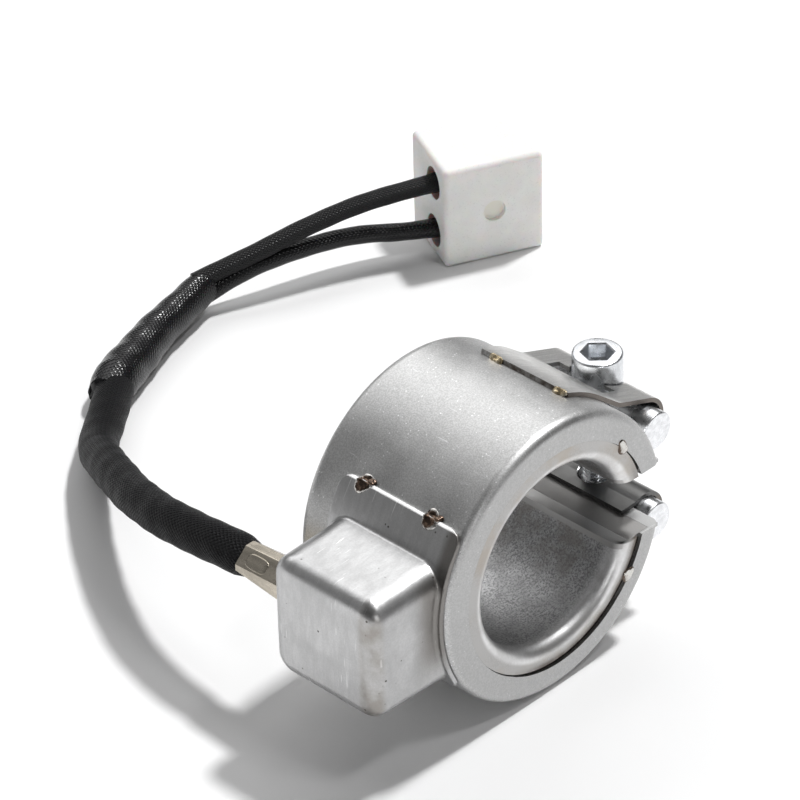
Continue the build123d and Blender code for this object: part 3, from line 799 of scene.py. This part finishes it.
@dataclass
class CableRun:
    """Braided cable, varnished splice sleeve, two leads and the ceramic plug they end in."""

    cable_diameter: float = 8.2
    splice_diameter: float = 8.8
    lead_diameter: float = 4.0
    cable_columns: int = 72
    lead_columns: int = 48
    cable_squeeze: Knots = ((0.0, 0.6), (0.122, 0.6), (0.132, 0.88), (0.15, 1.0), (1.0, 1.0))
    lead_swell: Knots = ((0.0, 1.0), (0.84, 1.0), (0.93, 1.2), (1.0, 1.2))
    splice_shape: Knots = ((0.0, 0.90), (0.05, 1.02), (0.12, 1.12), (0.28, 1.08), (0.6, 0.94), (1.0, 0.82))
    splice_flat: Knots = ((0.0, 1.0), (0.5, 1.0), (1.0, 0.92))
    splice_swell: float = 0.018
    splice_ragged: float = 0.3
    recess_at: Point = (100.83, 91.63, -18.0)
    recess_radius: float = 2.5
    cable_points: tuple[Point, ...] = (
        (-37.5, 8.0, -1.0), (-37.5, 27.0, -1.0), (-36.0, 46.3, -4.9), (-29.9, 64.6, -10.7),
        (-20.6, 82.4, -16.9), (-11.4, 97.2, -24.2), (0.4, 105.4, -25.2), (10.6, 114.2, -25.5))
    splice_points: tuple[Point, ...] = (
        (4.4, 110.9, -25.4), (17.8, 116.6, -25.5), (31.6, 121.0, -25.0), (45.2, 123.6, -24.2))
    upper_lead_points: tuple[Point, ...] = (
        (42.8, 124.2, -22.3), (53.8, 120.2, -20.0), (65.8, 115.9, -16.8), (77.6, 111.8, -14.6),
        (91.0, 105.3, -13.1), (100.54, 99.05, -12.0))
    lower_lead_points: tuple[Point, ...] = (
        (43.4, 123.2, -26.3), (52.9, 120.4, -22.7), (65.9, 116.6, -22.0), (78.2, 112.8, -22.4),
        (91.2, 105.6, -24.7), (100.54, 99.05, -24.0))

    def build(self, nodes: Nodes) -> None:
        """Builds and dresses the run.

        Args:
            nodes: The CAD nodes by name.
        """
        sleeves = (
            ("cable_sleeve", "sleeve", Braid("black_braid", (0.0045, 0.0045, 0.005), 30, 1.05, Sheen.DRY),
             Tube(Route("braided_cable", self.cable_points), self.cable_diameter, self.cable_columns, 0.5,
                  self.cable_squeeze)),
            ("splice_sleeve", "splice", Braid("varnished_braid", (0.005, 0.005, 0.0055), 30, 1.0, Sheen.SOAKED),
             Tube(Route("splice_cover", self.splice_points), self.splice_diameter, self.cable_columns, 0.4,
                  self.splice_shape, self.splice_swell, self.splice_flat, self.splice_ragged)),
            ("upper_lead", "sleeve", Braid("lead_braid", (0.008, 0.008, 0.0085), 20, 0.85, Sheen.DAMP),
             Tube(Route("upper_plug_lead", self.upper_lead_points), self.lead_diameter, self.lead_columns, 0.4,
                  self.lead_swell)),
            ("lower_lead", "sleeve", Braid("varnished_lead_braid", (0.005, 0.005, 0.0055), 18, 0.95, Sheen.SOAKED),
             Tube(Route("lower_plug_lead", self.lower_lead_points), self.lead_diameter, self.lead_columns, 0.4,
                  self.lead_swell)))
        built = {}
        for node, slot, braid, tube in sleeves:
            piece, line = built[node] = tube.build()
            dress(piece, braid.material())
            stand_in(piece, node)
        cords = (("cable_sleeve", self.cable_diameter, "fitting", "stiff", built["splice_sleeve"][0]),
                 ("upper_lead", self.lead_diameter, "plug", "medium", nodes["plug_body"]),
                 ("lower_lead", self.lead_diameter, "plug", "medium", nodes["plug_contacts"]))
        for node, diameter, far_end, stiffness, mate in cords:
            piece, line = built[node]
        dress(nodes["plug_body"], Ceramic("white_ceramic", (0.93, 0.925, 0.905), (0.84, 0.82, 0.74),
                                          self.recess_at, self.recess_radius).material())
        dress(nodes["plug_contacts"], Plating("plated_contact", (0.72, 0.63, 0.42)).material())


# Clip


@dataclass
class Clip:
    """Folded sheet sleeve round the cable's root: eight flat faces, the slanted ones wide, one with a tab."""

    root_y: float = 11.0
    end_y: float = 24.6
    centre: Pair = (-37.5, -1.0)
    end_half: Pair = (4.0, 3.5)
    root_half: Pair = (4.4, 4.6)
    top_half: float = 1.0
    end_side_half: float = 0.7
    root_side_half: float = 1.8
    sheet: float = 0.5
    fold: float = 0.25
    fold_angle: float = 25.0
    tab_middle: float = 19.8
    tab_drop: float = 0.55
    tab_half: Pair = (2.7, 1.5)
    tab_power: float = 0.6
    tab_rise: float = 0.3
    tab_sink: float = 0.15
    tab_columns: int = 40

    def section(self, far: bool, inset: float = 0.0) -> Array:
        """Eight corners of the sleeve at one end: a box with its corners cut down to short flats.

        Args:
            far: Whether this is the end away from the cap.
            inset: Distance that the walls are moved inwards.

        Returns:
            The corners in millimetres.
        """
        half, side = (self.end_half, self.end_side_half) if far else (self.root_half, self.root_side_half)
        wide, high = half[0] - inset, half[1] - inset
        top = self.top_half
        x = np.array([top, -top, -wide, -wide, -top, top, wide, wide])
        z = np.array([high, high, side, -side, -high, -high, -side, side])
        y = np.full(8, self.end_y if far else self.root_y)
        return np.stack([self.centre[0] + x, y, self.centre[1] + z], -1)

    def tab(self) -> tuple[Array, list[list[int]]]:
        """Points and faces of the pressed tab: a superellipse on the slanted face, raised and rounded."""
        share = (self.tab_middle - self.root_y) / (self.end_y - self.root_y)
        upper, lower = ((1 - share) * self.section(False) + share * self.section(True))[1:3]
        down = (lower - upper) / np.linalg.norm(lower - upper)
        along = np.array([0.0, 1.0, 0.0])
        out = np.cross(along, down)
        middle = (1 - self.tab_drop) * upper + self.tab_drop * lower
        turn = turns(self.tab_columns)
        far, across = (np.sign(wave) * np.abs(wave)**self.tab_power * half
                       for wave, half in zip((np.cos(turn), np.sin(turn)), self.tab_half))
        flat = far[:, None] * along + across[:, None] * down
        steps = ((1.0, -self.tab_sink), (1.0, 0.6 * self.tab_rise), (0.9, self.tab_rise), (0.5, self.tab_rise))
        points = np.concatenate([middle + shrink * flat + rise * out for shrink, rise in steps])
        foot = list(range(self.tab_columns))
        top = list(range(len(points) - self.tab_columns, len(points)))
        return points, ring_faces(len(steps), self.tab_columns).tolist() + [top, foot[::-1]]

    def build(self) -> None:
        """Builds and dresses the clip: outside, end rim and inside as one closed band of rings."""
        rings = np.concatenate([self.section(False), self.section(True),
                                self.section(True, self.sheet), self.section(False, self.sheet)])
        count = len(rings)
        faces = ring_faces(5, 8) % count
        tab_points, tab_faces = self.tab()
        points = np.concatenate([rings, tab_points]) * MM
        piece = mesh_object("folded_clip", points, faces.tolist() + [[k + count for k in f] for f in tab_faces])
        sharpen(piece, self.fold_angle)
        face_outwards(piece)
        bevel = piece.modifiers.new("folds", "BEVEL")
        bevel.width = self.fold * MM
        bevel.segments = 3
        bevel.limit_method = "ANGLE"
        bevel.angle_limit = radians(self.fold_angle)
        dress(piece, Plating("nickel_clip", (0.56, 0.51, 0.43), 0.27, (500.0, 120.0, 500.0), 0.3).material())
        stand_in(piece, "cable_clip")


# Clamp


@dataclass
class Clamp:
    """Straps, barrel nuts and the socket head screw with its thread."""

    nut_x: float = 32.4
    head_z: float = 14.6
    head_radius: float = 5.0
    head_height: float = 7.3
    head_edge: float = 0.5
    head_chamfer: float = 0.25
    socket_flats: float = 5.6
    socket_turn: float = 14.0
    socket_depth: float = 3.2
    socket_cone: float = 0.9
    socket_edge: float = 0.25
    shank_radius: float = 3.0
    shank_length: float = 29.0
    shank_fillet: Pair = (0.25, 0.35)
    root_radius: float = 2.45
    plain_length: float = 4.0
    pitch: float = 1.0
    ridge: Pair = (1.35, 0.12)
    thread_start: float = 1.2
    tip_length: float = 0.9
    tip_inset: float = 0.35
    pole: float = 0.02
    nut_edge: float = 0.4
    nut_reach: float = 1.4
    nut_pole: float = 0.05
    sharp_angle: float = 38.0
    edge_steps: int = 6
    columns: int = 96

    def edge(self, size: float) -> tuple[Array, Array]:
        """A rounded edge: how far each step lies inside the radius, and how far below the end face."""
        turn = np.linspace(0.0, pi / 2, self.edge_steps)
        return size * (1 - np.sin(turn)), size * (1 - np.cos(turn))

    def nut(self, node: str) -> bpy.types.Object:
        """Builds a barrel nut with rounded edges round its CAD node, reaching further to the front.

        Args:
            node: Name of the CAD node.

        Returns:
            The nut.
        """
        low, high = (np.array(corner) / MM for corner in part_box(node))
        middle = (low + high) / 2
        inside, step = self.edge(self.nut_edge)
        rim = (high[2] - low[2]) / 2 - inside
        radius = np.r_[self.nut_pole, rim, rim[::-1], self.nut_pole][:, None]
        front, back = low[1] - self.nut_reach, high[1]
        along = np.r_[front, front + step, (back - step)[::-1], back]
        angle = turns(self.columns)
        rings = np.stack([middle[0] + radius * np.cos(angle),
                          np.broadcast_to(along[:, None], (len(along), self.columns)),
                          middle[2] + radius * np.sin(angle)], -1) * MM
        piece = rings_object("pin_" + node.split("_")[0], rings)
        face_outwards(piece)
        sharpen(piece, self.sharp_angle)
        stand_in(piece, node)
        return piece

    def hexagon(self, angle: Array, half_flats: float) -> Array:
        """Distance from a hexagon's centre to its side at each angle: half its flats over the cosine."""
        turned = (angle - radians(self.socket_turn)) % (pi / 3) - pi / 6
        return half_flats / np.cos(turned)

    def thread(self, angle: Array) -> tuple[Array, Array]:
        """Radius and depth of the thread's rings.

        The radius is a triangle wave of the depth minus the turn, cut off at its crests and roots,
        fading in below the plain shank and tapering at the tip.

        Args:
            angle: Angles of the points on a ring.

        Returns:
            Radius of each point, and depth of each ring below the head.
        """
        rows = np.arange(self.plain_length, self.shank_length - self.pitch / 20, self.pitch / 10)
        wave = np.abs(((rows[:, None] / self.pitch - angle / (2 * pi)) % 1.0) * 2 - 1)
        ridge = np.clip(self.ridge[0] * wave - self.ridge[1], 0.0, 1.0)
        start = np.clip((rows - self.plain_length) / self.thread_start, 0.0, 1.0)[:, None]
        root = self.shank_radius - (self.shank_radius - self.root_radius) * start
        end = np.clip((self.shank_length - rows) / self.tip_length, 0.0, 1.0)[:, None]
        tip = self.root_radius - self.tip_inset
        return np.minimum(root + (self.shank_radius - root) * ridge, tip + (self.shank_radius - tip) * end), rows

    def screw(self) -> bpy.types.Object:
        """Builds the screw as rings from the socket's floor over the head and down the thread.

        The socket's rings are hexagons and the head's are circles with rounded edges.

        Returns:
            The screw.
        """
        angle = radians(self.socket_turn) + turns(self.columns)
        circle = np.ones_like(angle)
        half = self.socket_flats / 2
        hexagon, mouth = self.hexagon(angle, half), self.hexagon(angle, half + self.socket_edge)
        top = self.head_z + self.head_height
        floor, low = top - self.socket_depth, self.head_z + self.head_chamfer
        rings = [(self.pole, floor - self.socket_cone), (0.5 * hexagon, floor - self.socket_cone / 2),
                 (hexagon, floor), (hexagon, top - self.socket_edge), (mouth, top)]
        rings += [(self.head_radius - inside, top - step) for inside, step in zip(*self.edge(self.head_edge))]
        rings += [(self.head_radius, low + 0.02), (self.head_radius, low),
                  (self.head_radius - self.head_chamfer, self.head_z),
                  (self.shank_radius + self.shank_fillet[0], self.head_z - 0.01),
                  (self.shank_radius, self.head_z - self.shank_fillet[1])]
        thread, rows = self.thread(angle)
        radius = np.concatenate([[r * circle for r, _ in rings], thread, [self.pole * circle]])
        height = np.r_[[h for _, h in rings], self.head_z - rows, self.head_z - self.shank_length]
        points = np.stack([self.nut_x + radius * np.cos(angle), radius * np.sin(angle),
                           np.broadcast_to(height[:, None], radius.shape)], -1) * MM
        piece = rings_object("threaded_screw", points[::-1])
        sharpen(piece, self.sharp_angle)
        return piece

    def build(self, nodes: Nodes) -> None:
        """Builds the screw and the nuts and dresses the clamp.

        Args:
            nodes: The CAD nodes by name.
        """
        screw = self.screw()
        dress(screw, Plating("zinc_plate", (0.84, 0.86, 0.885), 0.27, (500.0, 500.0, 120.0), 0.22).material())
        stand_in(screw, "clamp_screw", Body.SCREW)
        pins = Plating("zinc_pin", (0.90, 0.91, 0.93), 0.26, (700.0, 60.0, 700.0), 0.18).material()
        for name in ("upper_barrel_nut", "lower_barrel_nut"):
            dress(self.nut(name), pins)
        strap = StrapSteel("strap_strip", (0.74, 0.735, 0.72), (0.09, 0.07, 0.055)).material()
        for name in ("upper_strap", "lower_strap"):
            dress(nodes[name], strap)


# Welds


@dataclass(frozen=True)
class Puddle:
    """A tack weld's half width and length, its rise and dish, and the sheet's step and edge below it."""

    wide: float
    long: float
    rise: float
    dish: float
    step: float = 0.0
    inset: float = 0.0


@dataclass
class Welds:
    """Tack welds: small molten puddles on the strap edges, the cap's flange and the seam."""

    flange_radius: float = 30.85
    cap_angles: Pair = (142.5, 212.5)
    cap_y: Pair = (6.6, -10.4)
    cap_disc: Puddle = Puddle(1.95, 1.95, 0.34, 0.75, 0.85, 0.6)
    cap_bead: Puddle = Puddle(0.7, 0.9, 0.7, 0.1, 0.5, 0.1)
    bead_angle: float = 0.5
    bead_shift: float = 1.5
    strap_angle: float = 69.8
    strap_y: Pair = (5.8, -10.3)
    strap_bead: Puddle = Puddle(0.75, 1.6, 0.75, 0.25, 0.6, 0.2)
    seam_angles: Pair = (41.5, -36.0)
    seam_shift: Pair = (0.2, 0.4)
    seam_drop: Puddle = Puddle(1.3, 1.8, 0.5, 0.2)
    face_y: float = 19.2
    rows: int = 14
    columns: int = 40

    def grid(self) -> tuple[Array, Array]:
        """Polar grid of a puddle: share of its radius, and angle round it."""
        return np.meshgrid(np.linspace(0.02, 1.0, self.rows), turns(self.columns), indexing="ij")

    def height(self, puddle: Puddle, seed: int) -> Array:
        """Height of a puddle: a dome with a dished middle, a rounded rim and a few lumps."""
        share, angle = self.grid()
        turn = np.random.default_rng(seed).uniform(0, 2 * pi, 3)
        lumps = sum(size * np.sin(count * angle + start)
                    for size, count, start in zip((0.12, 0.08, 0.05), (2, 3, 5), turn))
        dome = np.sqrt(np.clip(1 - share**2, 0, 1))
        return puddle.rise * (dome * (1 + lumps * share) - puddle.dish * np.clip(1 - (share / 0.62)**2, 0, 1))

    def on_shell(self, puddle: Puddle, angle: float, y: float, side: int, seed: int) -> Array:
        """Lays a puddle on the shell across the edge of a sheet.

        Args:
            puddle: Its sizes.
            angle: Angle of its middle about the bore.
            y: Place of its middle along the bore.
            side: 1 where the sheet lies at larger angles, -1 where it lies at smaller ones.
            seed: Start of its irregularities.

        Returns:
            The puddle's points.
        """
        share, turn = self.grid()
        phase = np.random.default_rng(seed).uniform(0, 2 * pi, 2)
        outline = share * (1 + 0.10 * np.sin(2 * turn + phase[0]) + 0.07 * np.sin(3 * turn + phase[1]))
        across, along = puddle.wide * outline * np.cos(turn), puddle.long * outline * np.sin(turn)
        onto = np.clip(0.5 + (side * across + puddle.inset) / 0.4, 0, 1)
        radius = SHELL_RADIUS - 0.04 + (puddle.step + 0.02) * onto + self.height(puddle, seed)
        theta = radians(angle) + across / SHELL_RADIUS
        return np.stack([radius * np.cos(theta), y + along, radius * np.sin(theta)], -1)

    def cap_patches(self) -> list[tuple[Array, float]]:
        """Points of the cap's puddles, a dished disc and a bead each, with how far each shows its rim."""
        patches = []
        for edge, side in zip(self.cap_angles, (1, -1)):
            middle = edge + side * np.degrees(self.cap_disc.inset / self.flange_radius)
            for number, y in enumerate(self.cap_y):
                seed = int(edge) + number
                patches.append((self.on_shell(self.cap_disc, middle, y, side, seed), 1.0))
                patches.append((self.on_shell(self.cap_bead, edge - self.bead_angle * side, y - self.bead_shift,
                                              side, seed + 9), 0.55))
        return patches

    def strap_patches(self) -> list[tuple[Array, float]]:
        """The same for the straps' beads, those of the lower strap mirrored."""
        return [(self.on_shell(self.strap_bead, self.strap_angle, y, -1, 40 + number + 5 * sign)
                 * np.array([1.0, 1.0, sign]), 0.8)
                for sign in (1, -1) for number, y in enumerate(self.strap_y)]

    def seam_patches(self) -> list[tuple[Array, float]]:
        """The same for the drops on the seam, on both end faces."""
        share, turn = self.grid()
        patches = []
        for number, (centre, shift) in enumerate(zip(self.seam_angles, self.seam_shift)):
            for face in (1, -1):
                outline = share * (1 + 0.16 * np.sin(2 * turn + number) + 0.1 * np.sin(3 * turn + face))
                radius = SEAM_RADIUS + shift + self.seam_drop.wide * outline * np.cos(turn)
                theta = radians(centre) + self.seam_drop.long * outline * np.sin(turn) / SEAM_RADIUS
                lift = face * (self.face_y + self.height(self.seam_drop, 70 + number))
                patches.append((np.stack([radius * np.cos(theta), lift, radius * np.sin(theta)], -1), 1.0))
        return patches

    def join(self, name: str, patches: list[tuple[Array, float]]) -> bpy.types.Object:
        """Joins puddles into one object that carries the attribute rim.

        Args:
            name: Name of the object.
            patches: Points of each puddle, rows by columns by 3, and how far it shows its rim.

        Returns:
            The object.
        """
        share, _ = self.grid()
        starts = range(0, len(patches) * share.size, share.size)
        quads = np.concatenate([ring_faces(self.rows, self.columns, start) for start in starts])
        middles = [list(range(start, start + self.columns))[::-1] for start in starts]
        points = np.concatenate([points.reshape(-1, 3) for points, _ in patches]) * MM
        piece = mesh_object(name, points, quads.tolist() + middles)
        rims = np.concatenate([shown * share.ravel() for _, shown in patches])
        layer = piece.data.attributes.new("rim", "FLOAT", "POINT")
        layer.data.foreach_set("value", rims.astype(np.float32))
        return piece

    def build(self) -> None:
        """Builds and dresses the three groups of welds."""
        # The pale rims of the burnt and bronze welds are painted highlights.
        burnt = WeldTint("burnt_weld", (0.06, 0.042, 0.032), (0.72, 0.70, 0.67), (0.22, 0.15, 0.11))
        bronze = WeldTint("bronze_weld", (0.42, 0.33, 0.20), (0.86, 0.80, 0.66), (0.74, 0.62, 0.42))
        bright = WeldTint("bright_weld", (0.66, 0.65, 0.62), (0.12, 0.09, 0.07), (0.52, 0.50, 0.47))
        groups = (("cap", self.cap_patches(), burnt, False), ("strap", self.strap_patches(), bronze, True),
                  ("seam", self.seam_patches(), bright, True))
        for group, patches, tint, mirrored in groups:
            piece = self.join(group + "_tacks", patches)
            if mirrored:
                face_outwards(piece)
            dress(piece, tint.material())
            stand_in(piece, group + "_welds")


# Band


@dataclass
class BoreShell:
    """Inner shell: a sheet channel round the bore with wide rounded lips and a seam that opens on one side."""

    half_width: float = 19.25
    sheet: float = 0.8
    lip_bend: float = 2.4
    half_gap: float = 7.1
    fold_width: float = 1.97
    seam_opening: float = 0.9
    seam_open_angle: float = -55.0
    sharp_angle: float = 40.0
    turns: int = 220
    bend_steps: int = 12

    def profile(self) -> tuple[Array, Array, Array]:
        """Closed section of the channel: its middle line moved half a sheet out, then back half a sheet in.

        Returns:
            Radius and place along the bore of each point, and its share of the way from the wall to the seam.
        """
        wall, face = BORE_RADIUS + self.sheet / 2, self.half_width - self.sheet / 2
        turn = np.linspace(0.0, pi / 2, self.bend_steps)
        bend = np.stack([wall + self.lip_bend * (1 - np.cos(turn)), face - self.lip_bend * (1 - np.sin(turn))], -1)
        side = np.concatenate([bend, [(SEAM_RADIUS, face)]])
        out = np.concatenate([np.stack([-np.cos(turn), np.sin(turn)], -1), [(0.0, 1.0)]])
        flip = np.array([1.0, -1.0])
        line, out = (np.concatenate([(part * flip)[::-1], part]) for part in (side, out))
        loop = np.concatenate([line + out * self.sheet / 2, (line - out * self.sheet / 2)[::-1]])
        flat = wall + self.lip_bend
        return loop[:, 0], loop[:, 1], np.clip((loop[:, 0] - flat) / (SEAM_RADIUS - flat), 0.0, 1.0)

    def build(self, material: bpy.types.Material) -> None:
        """Builds and dresses the shell.

        The section is carried round the bore from one side of the gap to the other, each point as far
        as its radius reaches at the gap's height. The seam's edge draws in with the cosine of its angle.

        Args:
            material: Finish of the shell.
        """
        radius, along, reach = self.profile()
        share = np.linspace(0.0, 1.0, self.turns)[:, None]
        start = np.arcsin(self.half_gap / radius)
        theta = start + share * (2 * pi - 2 * start)
        drawn = self.seam_opening * np.clip(np.cos(theta - radians(self.seam_open_angle)), 0.0, 1.0)
        radius = radius - reach * drawn
        rings = np.stack([radius * np.cos(theta), np.broadcast_to(along, theta.shape), radius * np.sin(theta)], -1)
        piece = rings_object("lipped_bore_shell", rings * MM)
        self.add_folds(piece)
        face_outwards(piece)
        sharpen(piece, self.sharp_angle)
        dress(piece, material)
        stand_in(piece, "inner_shell")

    def add_folds(self, piece: bpy.types.Object) -> None:
        """Adds the two sheet edges folded over at the gap.

        Args:
            piece: The shell.
        """
        work = bmesh.new()
        work.from_mesh(piece.data)
        outside = ((BORE_RADIUS + self.sheet)**2 - self.half_gap**2)**0.5
        size = Vector((self.fold_width, 2 * (self.half_width - self.sheet), self.sheet)) * MM
        for side in (1, -1):
            middle = Vector((outside + self.fold_width / 2, 0.0, side * (self.half_gap + self.sheet / 2))) * MM
            bmesh.ops.create_cube(work, size=1.0, matrix=Matrix.LocRotScale(middle, None, size))
        work.to_mesh(piece.data)
        work.free()


class Band:
    """Shells, end plates, cap and what is inside them: CAD nodes with their finishes, and the bore shell."""

    def build(self, nodes: Nodes) -> None:
        """Dresses the band's CAD nodes and builds the bore shell.

        Args:
            nodes: The CAD nodes by name.
        """
        finishes = (
            (SatinSteel("blasted_shell", (0.57, 0.57, 0.568)), ("outer_shell",)),
            # The end plates, the end walls of the gap, are coloured darker than the shell: painted shade.
            (SatinSteel("end_plate_steel", (0.46, 0.45, 0.44), 0.5), ("upper_end_plate", "lower_end_plate")),
            (DrawnSheet("drawn_cap", (0.57, 0.57, 0.572)), ("terminal_cap",)),
            (Hidden("mica_sheet", (0.55, 0.50, 0.40), 0.0, 0.6, 16.0), ("inner_mica", "outer_mica")),
            (Hidden("resistance_ribbon", (0.42, 0.41, 0.40), 1.0, 0.4), ("heating_ribbon", "terminal_strips")),
            (Hidden("fibre_wool", (0.62, 0.60, 0.55), 0.0, 0.95, 16.5), ("fibre_blanket",)),
            (Plating("plated_core", (0.72, 0.63, 0.42)), ("crimp_barrels", "cable_cores")),
            (Hidden("ceramic_bush", (0.80, 0.79, 0.75), 0.0, 0.7), ("terminal_bushing",)))
        for finish, names in finishes:
            material = finish.material()
            for name in names:
                dress(nodes[name], material)
        bore = BoreSteel("blasted_bore", (0.53, 0.523, 0.515), (0.52, 0.52, 0.525), (0.28, 0.25, 0.215))
        BoreShell().build(bore.material())


# Studio


@dataclass(frozen=True)
class Panel:
    """A soft lamp: its direction from the object, its width and height in metres, and its face's brightness."""

    name: str
    way: Point
    wide: float
    high: float
    radiance: float


@dataclass
class Studio:
    """Pale floor, soft light from behind on the right, and the camera of the photograph. Reaches are metres."""

    floor_z: float = -30.02
    floor_reach: float = 2.5
    floor_colour: Colour = (0.96, 0.96, 0.962)
    camera_at: Point = (-552.2, -529.32, 557.99)
    camera_right: Point = (0.69521, -0.71848, -0.02151)
    camera_up: Point = (0.42184, 0.38358, 0.82154)
    camera_back: Point = (-0.58201, -0.58022, 0.56975)
    camera_reach: float = 20.0
    lens: float = 225.0
    sensor: float = 36.0
    aim: Point = (30.0, 40.0, -10.0)
    key_way: Point = (0.43, -0.03, 0.90)
    key_reach: float = 2.0
    key_share: float = 0.74
    key_spread: float = 6.0
    glow_way: Point = (0.42, 0.50, 0.76)
    glow_span: Pair = (-0.3, 0.95)
    glow: Pair = (0.05, 0.14)
    panel_reach: float = 1.3
    panels: tuple[Panel, ...] = (
        Panel("back_panel", (0.31, 0.58, 0.75), 1.55, 0.75, 1.8),
        Panel("side_panel", (-0.62, 0.60, 0.50), 1.3, 1.0, 0.18),
        Panel("front_panel", (0.10, -0.83, 0.52), 1.4, 1.0, 0.12),
        Panel("front_strip", (-0.48, -0.81, 0.31), 0.30, 0.30, 4.5),
        Panel("top_strip", (0.10, -0.42, 0.90), 0.28, 0.14, 14.0))

    def camera(self) -> None:
        """Makes the camera."""
        data = bpy.data.cameras.new("camera")
        data.lens = self.lens
        data.sensor_width = self.sensor
        data.clip_end = self.camera_reach
        turn = Matrix((self.camera_right, self.camera_up, self.camera_back)).transposed().to_4x4()
        eye = bpy.data.objects.new("camera", data)
        eye.matrix_world = Matrix.Translation(Vector(self.camera_at) * MM) @ turn
        bpy.context.scene.collection.objects.link(eye)
        bpy.context.scene.camera = eye

    def floor(self) -> None:
        """Makes the floor, pale and matt."""
        corners = np.array([(-1, -1), (1, -1), (1, 1), (-1, 1)]) * self.floor_reach
        points = np.c_[corners, np.full(4, self.floor_z * MM)]
        piece = mesh_object("floor", points, [[0, 1, 2, 3]])
        shader = Shader("pale_floor")
        shader.surface(base_color=self.floor_colour, roughness=0.9, specular_ior_level=0.1)
        dress(piece, shader.material)

    def hang(self, data: bpy.types.Light, way: Point, far: float) -> None:
        """Hangs a light in a direction from the object, facing it.

        Args:
            data: The light.
            way: Direction from the object to the light.
            far: Distance in metres.
        """
        lamp = bpy.data.objects.new(data.name, data)
        back = Vector(way).normalized()
        lamp.location = Vector(self.aim) * MM + back * far
        lamp.rotation_mode = "QUATERNION"
        lamp.rotation_quaternion = (-back).to_track_quat("-Z", "Y")
        bpy.context.scene.collection.objects.link(lamp)

    def lights(self) -> None:
        """Makes the key light, distant so that it lights the floor evenly, and the panels, each width level."""
        key = bpy.data.lights.new("key", "SUN")
        key.energy = self.key_share * pi
        key.angle = radians(self.key_spread)
        self.hang(key, self.key_way, self.key_reach)
        for panel in self.panels:
            data = bpy.data.lights.new(panel.name, "AREA")
            data.shape = "RECTANGLE"
            data.size = panel.wide
            data.size_y = panel.high
            data.energy = panel.radiance * pi * panel.wide * panel.high
            self.hang(data, panel.way, self.panel_reach)

    def world(self) -> None:
        """Makes a dim surround, brighter overhead and behind on the right."""
        world = bpy.data.worlds.new("surround")
        bpy.context.scene.world = world
        world.use_nodes = True
        writer = Writer(world.node_tree)
        tilt = writer.pair("DOT_PRODUCT", writer.place(Place.GENERATED), self.glow_way)
        glow = writer.ease(tilt, *self.glow_span, *self.glow)
        surround = writer.node("ShaderNodeBackground", {"Color": (1.0, 1.0, 1.0), "Strength": glow})
        writer.node("ShaderNodeOutputWorld", {"Surface": surround.outputs[0]})

    def build(self) -> None:
        """Builds the studio."""
        bpy.context.scene.view_settings.view_transform = "Standard"
        self.camera()
        self.floor()
        self.world()
        self.lights()


def main() -> None:
    """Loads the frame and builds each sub-assembly."""
    logging.basicConfig(level=logging.INFO, format="%(name)s: %(message)s")
    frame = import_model()
    nodes = frame["nodes"]
    Studio().build()
    CableRun().build(nodes)
    Band().build(nodes)
    Clip().build()
    Clamp().build(nodes)
    Welds().build()
    bpy.context.view_layer.update()


if __name__ == "__main__":
    main()
